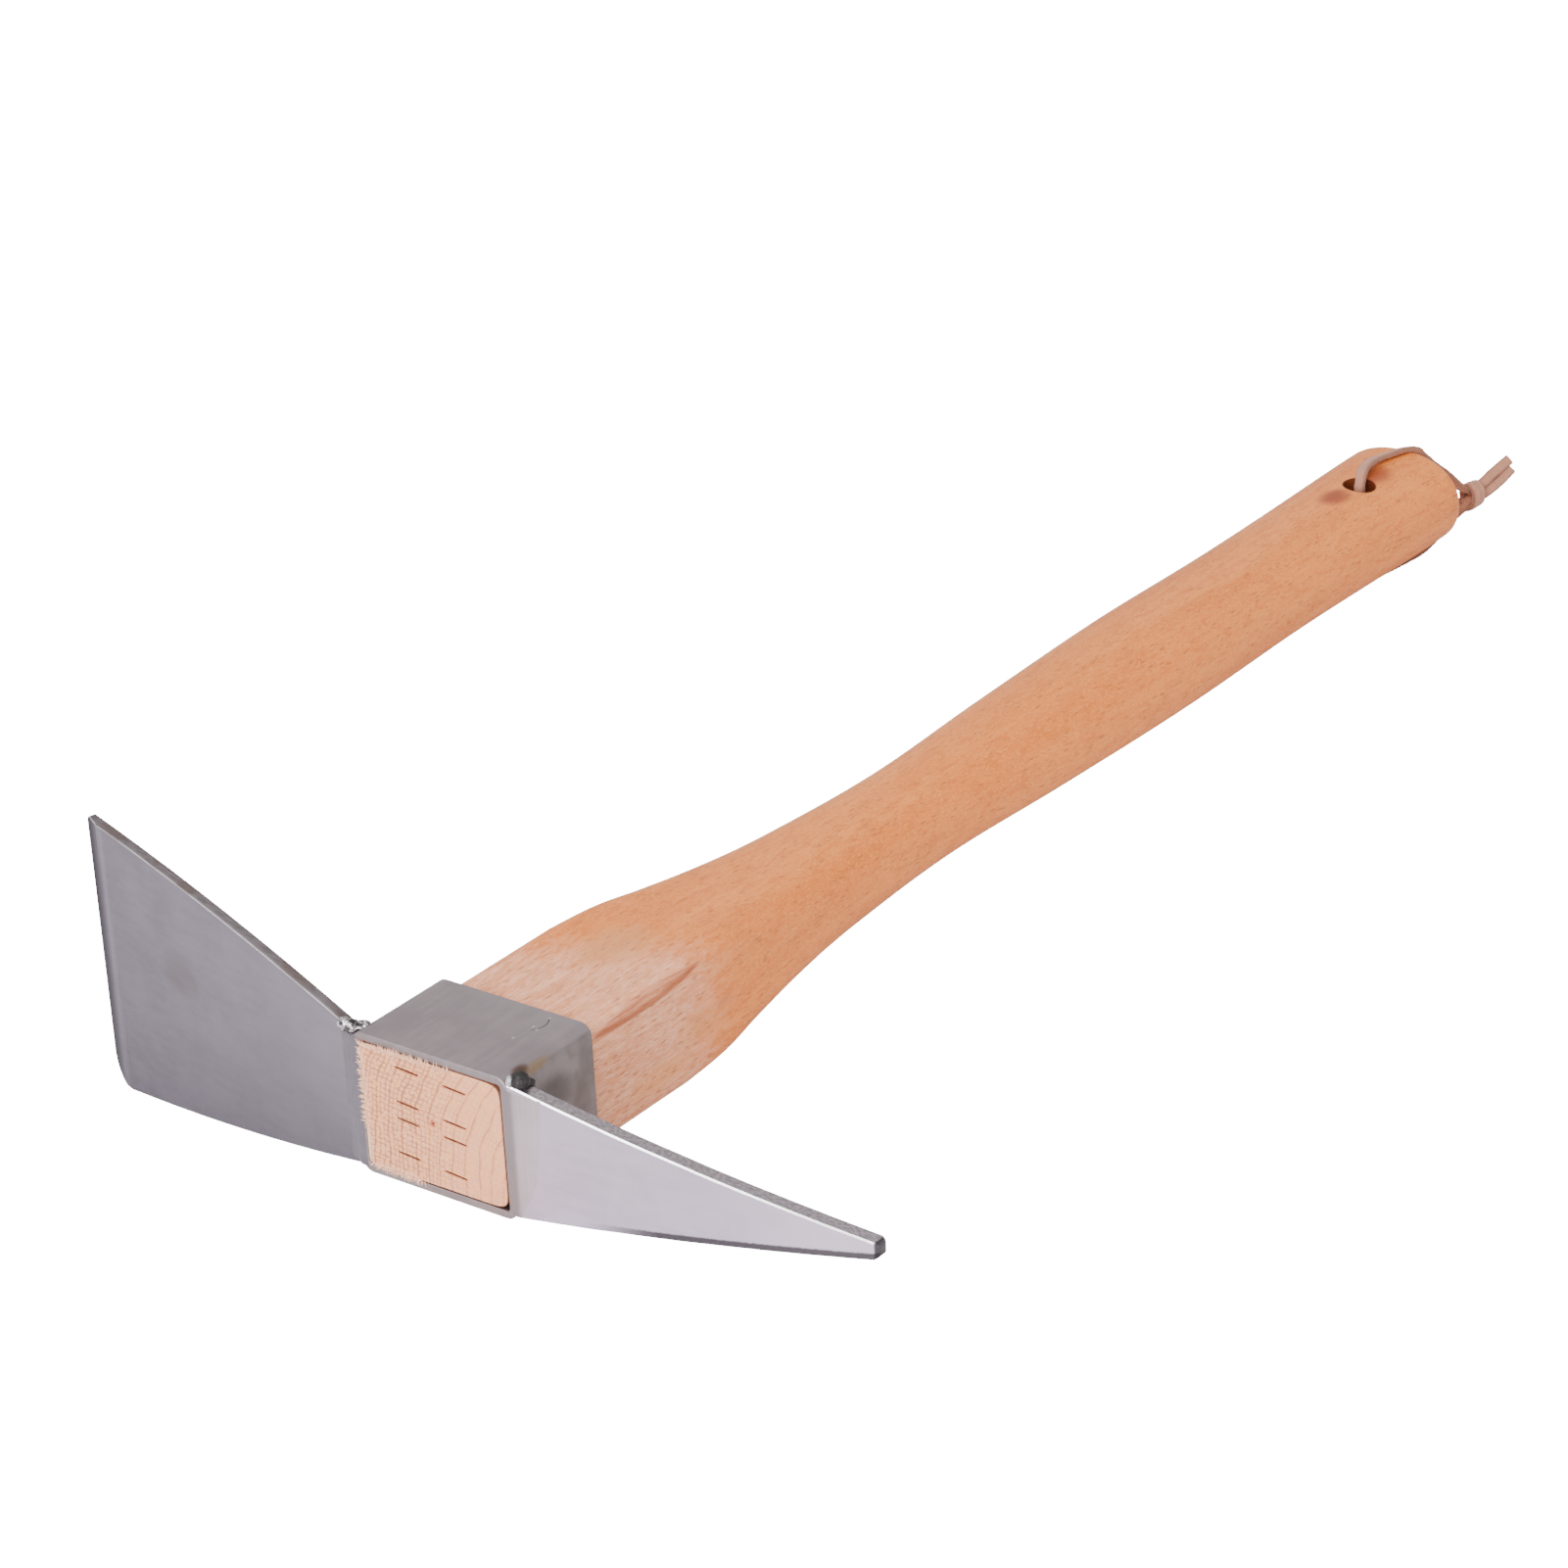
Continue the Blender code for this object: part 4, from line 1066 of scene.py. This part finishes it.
# The bevel strip is painted dark, as painted shade for its darker reflection, and a lighter line
# along its shoulder is a painted highlight.
bevel_shade = fade(tree, along, 97.4, 103.2)
colour = lay_over(tree, colour, bevel_shade, 0.80, (0.085, 0.075, 0.088))
shoulder_highlight = times(tree, fade(tree, along, 95.8, 97.6), fade_out(tree, along, 98.0, 99.6))
colour = lay_over(tree, colour, shoulder_highlight, 0.40, (0.380, 0.340, 0.400))
towards_root = fade_out(tree, along, 0.0, 90.0)
colour = lay_over(tree, colour, towards_root, 0.45, (0.310, 0.274, 0.327))
facing = add_node(tree, "ShaderNodeNewGeometry").outputs["Normal"]


def turned_to(tree, facing, axis):
    """How far the surface faces along one of the tool's axes: 1 is straight along it."""
    made = add_node(
        tree, "ShaderNodeVectorMath", {0: facing, 1: tuple(axis)}, operation="DOT_PRODUCT",
    )
    return made.outputs["Value"]


cut_side = turned_to(tree, facing, tool_z)
cut_side = fade(tree, work_out(tree, "ABSOLUTE", cut_side), 0.55, 0.85)
strike = read_noise(tree, stretch(tree, place, (0.30, 1.6, 0.0)), 1.0, 3.0, 0.6)
heat = read_noise(tree, stretch(tree, place, (0.055, 0.02, 0.0)), 1.0, 3.0, 0.6)
colour = lay_over(tree, colour, cut_side, 0.8, (0.250, 0.215, 0.225))
streaked = times(tree, cut_side, fade(tree, strike, 0.44, 0.62))
colour = lay_over(tree, colour, streaked, 0.6, (0.130, 0.108, 0.105))
# A painted highlight on the arris between the front and the top.
arris_y = turned_to(tree, facing, tool_y)
arris_z = turned_to(tree, facing, tool_z)
arris_highlight = times(
    tree, fade(tree, times(tree, arris_y, -1.0), 0.20, 0.45), fade(tree, arris_z, 0.18, 0.40),
)
colour = lay_over(tree, colour, arris_highlight, 0.8, (0.700, 0.640, 0.680))
colour = blend_colours(
    tree, times(tree, cut_side, times(tree, fade(tree, heat, 0.50, 0.62), 0.45)), colour,
    (0.150, 0.100, 0.075),
)
hot_root = fade_out(tree, along, 0.0, 14.0)
hot_root = times(tree, hot_root, cut_side)
colour = lay_over(tree, colour, hot_root, 0.6, (0.110, 0.068, 0.045))
dull_spot = near_point(
    tree, apart, (-90.0, 15.0, 5.5), (9.0, 8.0, 7.0), read_noise(tree, place, 0.3, 2.0),
)
colour = lay_over(tree, colour, dull_spot, 0.30, (0.170, 0.140, 0.125))
tree.links.new(colour, shader.inputs["Base Color"])
tree.links.new(rough, shader.inputs["Roughness"])
shader.inputs["Specular Tint"].default_value = (0.45, 0.45, 0.45, 1.0)
link_piece("hoe_blade", blade_mesh, [blade_steel], "tool", ["blade"], 24)


# ---------------------------------------------------------------- pick
# Cut from 4 mm stainless plate, tapered to a blunt point and curved a little towards the
# handle. Its front is ground brighter than the blade, and its arrises are broken by hand.
PICK_THICKNESS = 0.0040
PICK_ROOT = SOCKET_OUTSIDE[0]
PICK_TIP_AT = 0.1150
PICK_ROOT_HALF = 0.0166
PICK_TIP_HALF = 0.0020
PICK_SWEEP = 0.0073
PICK_ARRIS = 0.00034


def pick_half_height(x):
    share = (x - PICK_ROOT) / (PICK_TIP_AT - PICK_ROOT)
    return PICK_ROOT_HALF + (PICK_TIP_HALF - PICK_ROOT_HALF) * share


def pick_face(x):
    share = max(0.0, (x - PICK_ROOT) / (PICK_TIP_AT - PICK_ROOT))
    return PICK_SWEEP * share**2


pick_bm = bmesh.new()
pick_rings = []
pick_stations = [(PICK_ROOT, 0.0)] + [
    (PICK_ROOT + (PICK_TIP_AT - 0.0012 - PICK_ROOT) * step / 60, 0.0) for step in range(1, 61)
]
pick_stations += [
    (PICK_TIP_AT - 0.0007, 0.00018), (PICK_TIP_AT - 0.0003, 0.00042), (PICK_TIP_AT, 0.00085),
]
for x, inset in pick_stations:
    ring = []
    half = pick_half_height(x) - inset
    middle_y = pick_face(x) + PICK_THICKNESS / 2
    dents = 0.00007 * noise.noise(Vector((x * 130, 0.3, 0.9))) if x > 0.03 else 0.0
    for px, pz in rounded_rectangle(PICK_THICKNESS / 2 - inset, half + dents, PICK_ARRIS, 1):
        ring.append(pick_bm.verts.new((x, middle_y + px, pz)))
    pick_rings.append(ring)
for ring, following in zip(pick_rings, pick_rings[1:]):
    for i in range(len(ring)):
        j = (i + 1) % len(ring)
        pick_bm.faces.new((ring[i], ring[j], following[j], following[i]))
pick_bm.faces.new(pick_rings[0])
pick_bm.faces.new(pick_rings[-1])
pick_mesh = into_mesh(pick_bm, "steel_pick")

pick_steel, tree, shader, place, colour, rough = steel_finish(
    "pick_steel", (0.570, 0.475, 0.605), (0.640, 0.535, 0.675), (0.05, 0.4, 0.5), 0.36, 0.00002,
)
apart = add_node(tree, "ShaderNodeSeparateXYZ", {0: place})
at_x, at_y, at_z = apart.outputs
facing = add_node(tree, "ShaderNodeNewGeometry").outputs["Normal"]
cut_side = turned_to(tree, facing, tool_z)
cut_side = fade(tree, work_out(tree, "ABSOLUTE", cut_side), 0.60, 0.90)
strike = read_noise(tree, stretch(tree, place, (0.9, 1.4, 0.0)), 1.0, 3.0, 0.65)
dark_cut = times(tree, cut_side, fade(tree, strike, 0.38, 0.62))
brighter = fade(tree, at_x, 60.0, 112.0)
colour = lay_over(tree, colour, brighter, 0.6, (0.860, 0.735, 0.890))
colour = lay_over(tree, colour, cut_side, 0.85, (0.430, 0.375, 0.398))
colour = lay_over(tree, colour, dark_cut, 0.65, (0.180, 0.156, 0.160))
# A painted highlight, near white, on the arris between the front and the top.
arris_y = turned_to(tree, facing, tool_y)
arris_z = turned_to(tree, facing, tool_z)
front_way = fade(tree, times(tree, arris_y, -1.0), 0.12, 0.35)
arris_highlight = times(tree, front_way, fade(tree, arris_z, 0.12, 0.30))
taper = (PICK_ROOT_HALF - PICK_TIP_HALF) / (PICK_TIP_AT - PICK_ROOT)
# A dark line along the lower edge, from the middle to the tip: painted shade.
from_lower = work_out(
    tree, "MULTIPLY_ADD", work_out(tree, "SUBTRACT", at_x, PICK_ROOT * 1000), -taper, at_z,
)
from_lower = work_out(tree, "ADD", from_lower, PICK_ROOT_HALF * 1000)
from_lower = work_out(tree, "MULTIPLY_ADD", strike, 0.5, from_lower)
lower_edge_shade = fade_out(tree, from_lower, 1.70, 2.20)
lower_edge_shade = times(tree, lower_edge_shade, fade(tree, at_x, 40.0, 62.0))
back_side = turned_to(tree, facing, tool_y)
colour = lay_over(tree, colour, fade(tree, back_side, 0.3, 0.8), 0.75, (0.240, 0.225, 0.235))
colour = blend_colours(tree, arris_highlight, colour, (1.0, 0.98, 1.0))
# The tip's end is painted almost black.
dark_tip_end = fade(tree, at_x, 113.9, 114.4)
colour = lay_over(tree, colour, dark_tip_end, 0.92, (0.035, 0.032, 0.034))
colour = lay_over(tree, colour, lower_edge_shade, 0.9, (0.045, 0.040, 0.042))
tree.links.new(colour, shader.inputs["Base Color"])
polished = work_out(tree, "MULTIPLY_ADD", arris_highlight, -0.14, rough)
tree.links.new(polished, shader.inputs["Roughness"])
link_piece("steel_pick", pick_mesh, [pick_steel], "tool", ["pick"], 30)


# ---------------------------------------------------------------- welds
# The plates are TIG-welded to the socket along their fronts and backs. The fronts are ground
# flush and only their outlines show; behind, the rippled fillets stay as laid. A bead is left
# standing on the upper end of each front seam.
SEAM_PROUD = 0.00006
SEAM_DEPTH = 0.0030
seam_border = (
    (0.0316, 0.0150), (0.0311, 0.0110), (0.0306, 0.0060), (0.0299, 0.0), (0.0290, -0.0050),
    (0.0276, -0.0090), (0.0256, -0.0125), (0.0240, -0.0160),
)
border = smooth_route([Vector((x, 0.0, z)) for x, z in seam_border], 0.0008)
pick_seam_outline = [(p.x, p.z) for p in border] + [
    (0.0212, -0.0162), (0.0210, 0.0), (0.0212, 0.0152),
]
pick_seam_bm = bmesh.new()
join_outlines(
    pick_seam_bm,
    [(x, pick_face(x) - SEAM_PROUD, z) for x, z in pick_seam_outline],
    [(x, pick_face(x) - SEAM_PROUD + SEAM_DEPTH, z) for x, z in pick_seam_outline],
)
pick_seam_mesh = into_mesh(pick_seam_bm, "pick_seam")
pick_seam_mesh = soften_edges(pick_seam_mesh, "pick_seam_plate", 0.00012, 2, 30)
seam_steel, tree, shader, place, colour, rough = steel_finish(
    "ground_seam", (0.490, 0.405, 0.450), (0.570, 0.478, 0.520), (0.9, 0.4, 0.06), 0.42, 0.00003,
)
apart = add_node(tree, "ShaderNodeSeparateXYZ", {0: place})
# Darker next to the socket wall: painted shade by the gap.
wall_gap_shade = fade_out(tree, apart.outputs[0], 22.6, 24.4)
colour = lay_over(tree, colour, wall_gap_shade, 0.85, (0.270, 0.228, 0.245))
tree.links.new(colour, shader.inputs["Base Color"])
tree.links.new(rough, shader.inputs["Roughness"])
link_piece("pick_seam", pick_seam_mesh, [seam_steel], "tool", ["pick_seam_weld"], 30)

blade_seam_bm = bmesh.new()
root_top = BLADE_ROOT_HALF - 0.0004
blade_seam_section = [
    (-0.0207, 0.0008), (-0.0207, -0.00005), (-0.0214, -0.00010), (-0.0222, -0.00006),
    (-0.0228, 0.00014), (-0.0234, 0.00048), (-0.0241, 0.00088), (-0.0249, 0.00130),
    (-0.0258, 0.00168), (-0.0268, 0.00196), (-0.0268, 0.0034), (-0.0226, 0.0034),
    (-0.0226, 0.0008),
]
join_outlines(
    blade_seam_bm,
    [(x, y, -root_top) for x, y in blade_seam_section],
    [(x, y, root_top) for x, y in blade_seam_section],
)
blade_seam_mesh = into_mesh(blade_seam_bm, "blade_seam")
flush_steel, tree, shader, place, colour, rough = steel_finish(
    "flush_seam", (0.205, 0.180, 0.216), (0.240, 0.211, 0.252), (0.06, 0.4, 0.5), 0.44, 0.00003,
)
tree.links.new(colour, shader.inputs["Base Color"])
tree.links.new(rough, shader.inputs["Roughness"])
link_piece(
    "blade_seam", blade_seam_mesh, [flush_steel], "tool", ["blade_seam_weld"], 40,
)


def lay_fillet(name, corner, toe_x, toe_y, half_height, ripple, replaced, materials):
    """A weld bead in a corner: a row of overlapping pools from its corner to its two toes."""
    bm = bmesh.new()
    rings = []
    count = round(2 * half_height / 0.00018)
    for step in range(count + 1):
        z = -half_height + 2 * half_height * step / count
        pool = (z / ripple) % 1.0
        swell = 1.0 + 0.13 * math.sqrt(max(0.0, 1 - (2 * pool - 1) ** 2)) - 0.05
        swell *= 1.0 + 0.06 * noise.noise(Vector((z * 700, corner[0] * 900, 0.0)))
        ends = min(1.0, (half_height - abs(z)) / 0.0014)
        swell *= 0.55 + 0.45 * math.sqrt(max(0.0, 1 - (1 - ends) ** 2))
        ring = [bm.verts.new((corner[0], corner[1], z))]
        for k in range(13):
            angle = math.radians(90 * k / 12)
            x = corner[0] + toe_x * swell * math.cos(angle) ** 1.25
            y = corner[1] + toe_y * swell * math.sin(angle) ** 1.25
            ring.append(bm.verts.new((x, y, z)))
        rings.append(ring)
    for ring, following in zip(rings, rings[1:]):
        for i in range(len(ring)):
            j = (i + 1) % len(ring)
            bm.faces.new((ring[i], ring[j], following[j], following[i]))
    bm.faces.new(rings[0])
    bm.faces.new(rings[-1])
    mesh = into_mesh(bm, name)
    return link_piece(name, mesh, materials, "tool", replaced, 40)


weld_bead, tree, shader, place, colour, rough = steel_finish(
    "weld_bead", (0.120, 0.108, 0.104), (0.300, 0.275, 0.265), (0.6, 0.6, 1.2), 0.38, 0.00005,
)
scale = read_noise(tree, place, 0.8, 3.0, 0.6)
colour = lay_over(tree, colour, fade(tree, scale, 0.48, 0.66), 0.7, (0.110, 0.070, 0.046))
tree.links.new(colour, shader.inputs["Base Color"])
tree.links.new(rough, shader.inputs["Roughness"])
lay_fillet(
    "pick_back_fillet", (0.0222, 0.0039), 0.0041, 0.0041, 0.0148, 0.0016, ["pick_back_weld"],
    [weld_bead],
)
blade_back_y = 0.0010 + BLADE_THICKNESS / math.cos(BLADE_LEAN)
lay_fillet(
    "blade_back_fillet", (-0.0222, blade_back_y - 0.0002), -0.0041, 0.0044, 0.0148, 0.0016,
    ["blade_back_weld"], [weld_bead],
)


def melt_bead(name, drops, seed, materials, replaced):
    """A standing bead: a few drops of metal that ran together, with a rough skin."""
    bm = bmesh.new()
    for middle, size in drops:
        made = bmesh.ops.create_icosphere(bm, subdivisions=4, radius=1.0)["verts"]
        bmesh.ops.scale(bm, vec=size, verts=made)
        bmesh.ops.translate(bm, vec=middle, verts=made)
    mesh = bpy.data.meshes.new(name)
    bm.to_mesh(mesh)
    bm.free()
    thing = bpy.data.objects.new(name + "_drops", mesh)
    bpy.context.scene.collection.objects.link(thing)
    remesh = thing.modifiers.new("melt", "REMESH")
    remesh.mode = "VOXEL"
    remesh.voxel_size = 0.00011
    smooth = thing.modifiers.new("smooth", "SMOOTH")
    smooth.iterations = 5
    mesh = finished_mesh(thing)
    outwards = [vertex.normal.copy() for vertex in mesh.vertices]
    for vertex, outward in zip(mesh.vertices, outwards):
        lumps = noise.noise(vertex.co * 700 + Vector((seed, 0, 0))) * 0.00022
        lumps += noise.noise(vertex.co * 2200 + Vector((0, seed, 0))) * 0.00007
        vertex.co += outward * lumps
    return link_piece(name, mesh, materials, "tool", replaced, 60)


bright_bead, tree, shader, place, colour, rough = steel_finish(
    "bright_bead", (0.180, 0.165, 0.175), (0.560, 0.520, 0.550), (0.6, 0.6, 0.6), 0.18, 0.00003,
)
# Dark patches and white glints laid by noise: painted reflections on the glossy bead.
foot = read_noise(tree, place, 0.75, 3.0, 0.6, 0.6)
dark_reflection = fade_out(tree, foot, 0.40, 0.49)
colour = lay_over(tree, colour, dark_reflection, 0.85, (0.030, 0.026, 0.028))
glint = times(tree, fade(tree, foot, 0.54, 0.60), 0.9)
colour = blend_colours(tree, glint, colour, (1.0, 0.97, 1.0))
tree.links.new(colour, shader.inputs["Base Color"])
tree.links.new(rough, shader.inputs["Roughness"])
melt_bead(
    "blade_upper_bead",
    [
        ((-0.0256, 0.0020, 0.0174), (0.0018, 0.0015, 0.0017)),
        ((-0.0238, 0.0024, 0.0170), (0.0019, 0.0018, 0.0020)),
        ((-0.0222, 0.0040, 0.0172), (0.0020, 0.0020, 0.0009)),
    ],
    3.0, [bright_bead], ["blade_top_weld"],
)
burnt_bead, tree, shader, place, colour, rough = steel_finish(
    "burnt_bead", (0.040, 0.037, 0.038), (0.085, 0.078, 0.080), (0.6, 0.6, 0.6), 0.55, 0.00008,
)
rim_glint = near_point(
    tree, add_node(tree, "ShaderNodeSeparateXYZ", {0: place}), (22.3, 0.4, 17.4), (1.5, 1.6, 2.2),
    read_noise(tree, place, 0.9, 2.0),
)
colour = blend_colours(tree, rim_glint, colour, (0.640, 0.610, 0.640))
tree.links.new(colour, shader.inputs["Base Color"])
tree.links.new(rough, shader.inputs["Roughness"])
melt_bead(
    "pick_upper_bead",
    [
        ((0.0244, 0.0024, 0.0170), (0.0023, 0.0023, 0.0024)),
        ((0.0228, 0.0013, 0.0168), (0.0014, 0.0012, 0.0018)),
        ((0.0252, 0.0040, 0.0162), (0.0015, 0.0016, 0.0012)),
    ],
    11.0, [burnt_bead], ["pick_top_weld"],
)


# ---------------------------------------------------------------- floor and lights
# A wide matt white floor and large soft lamps, as in a tabletop studio.
floor_mesh = bpy.data.meshes.new("floor")
floor_mesh.from_pydata([(-5, -5, 0), (5, -5, 0), (5, 5, 0), (-5, 5, 0)], [], [(0, 1, 2, 3)])
floor = bpy.data.objects.new("floor", floor_mesh)
bpy.context.scene.collection.objects.link(floor)
paper = bpy.data.materials.new("white_paper")
paper.use_nodes = True
tree = paper.node_tree
shader = tree.nodes["Principled BSDF"]
grain = add_node(tree, "ShaderNodeTexNoise", {"Scale": 400.0, "Detail": 2.0})
shade = blend_colours(tree, grain.outputs[0], (0.84, 0.84, 0.84), (0.86, 0.86, 0.86))
tree.links.new(shade, shader.inputs["Base Color"])
shader.inputs["Roughness"].default_value = 0.95
shader.inputs["Specular IOR Level"].default_value = 0.0
seen = add_node(tree, "ShaderNodeLightPath").outputs["Is Camera Ray"]
lit = add_node(tree, "ShaderNodeEmission", {0: (1.0, 1.0, 1.0, 1.0), 1: times(tree, seen, 16.0)})
both = add_node(tree, "ShaderNodeAddShader", {0: shader.outputs[0], 1: lit.outputs[0]})
tree.links.new(both.outputs[0], tree.nodes["Material Output"].inputs["Surface"])
floor_mesh.materials.append(paper)

world = bpy.data.worlds.new("studio")
bpy.context.scene.world = world
world.use_nodes = True
world.node_tree.nodes["Background"].inputs["Color"].default_value = (1.0, 1.0, 1.0, 1.0)
world.node_tree.nodes["Background"].inputs["Strength"].default_value = 1.05


def add_lamp(name, place, size, power, colour=(1.0, 1.0, 1.0)):
    """A square soft box that looks at the middle of the tool."""
    lamp = bpy.data.objects.new(name, bpy.data.lights.new(name, "AREA"))
    lamp.data.size = size
    lamp.data.energy = power
    lamp.data.color = colour
    lamp.location = place
    lamp.rotation_euler = (
        Vector((0, 0, 0.02)) - Vector(place)
    ).to_track_quat("-Z", "Y").to_euler()
    bpy.context.scene.collection.objects.link(lamp)


add_lamp("key_softbox", (0.7, -1.1, 1.6), 1.3, 18.0)
add_lamp("front_softbox", (0.55, -1.65, 0.55), 1.1, 28.0)
add_lamp("edge_softbox", (-0.46, -1.17, 1.67), 0.7, 13.0)

bpy.context.view_layer.update()
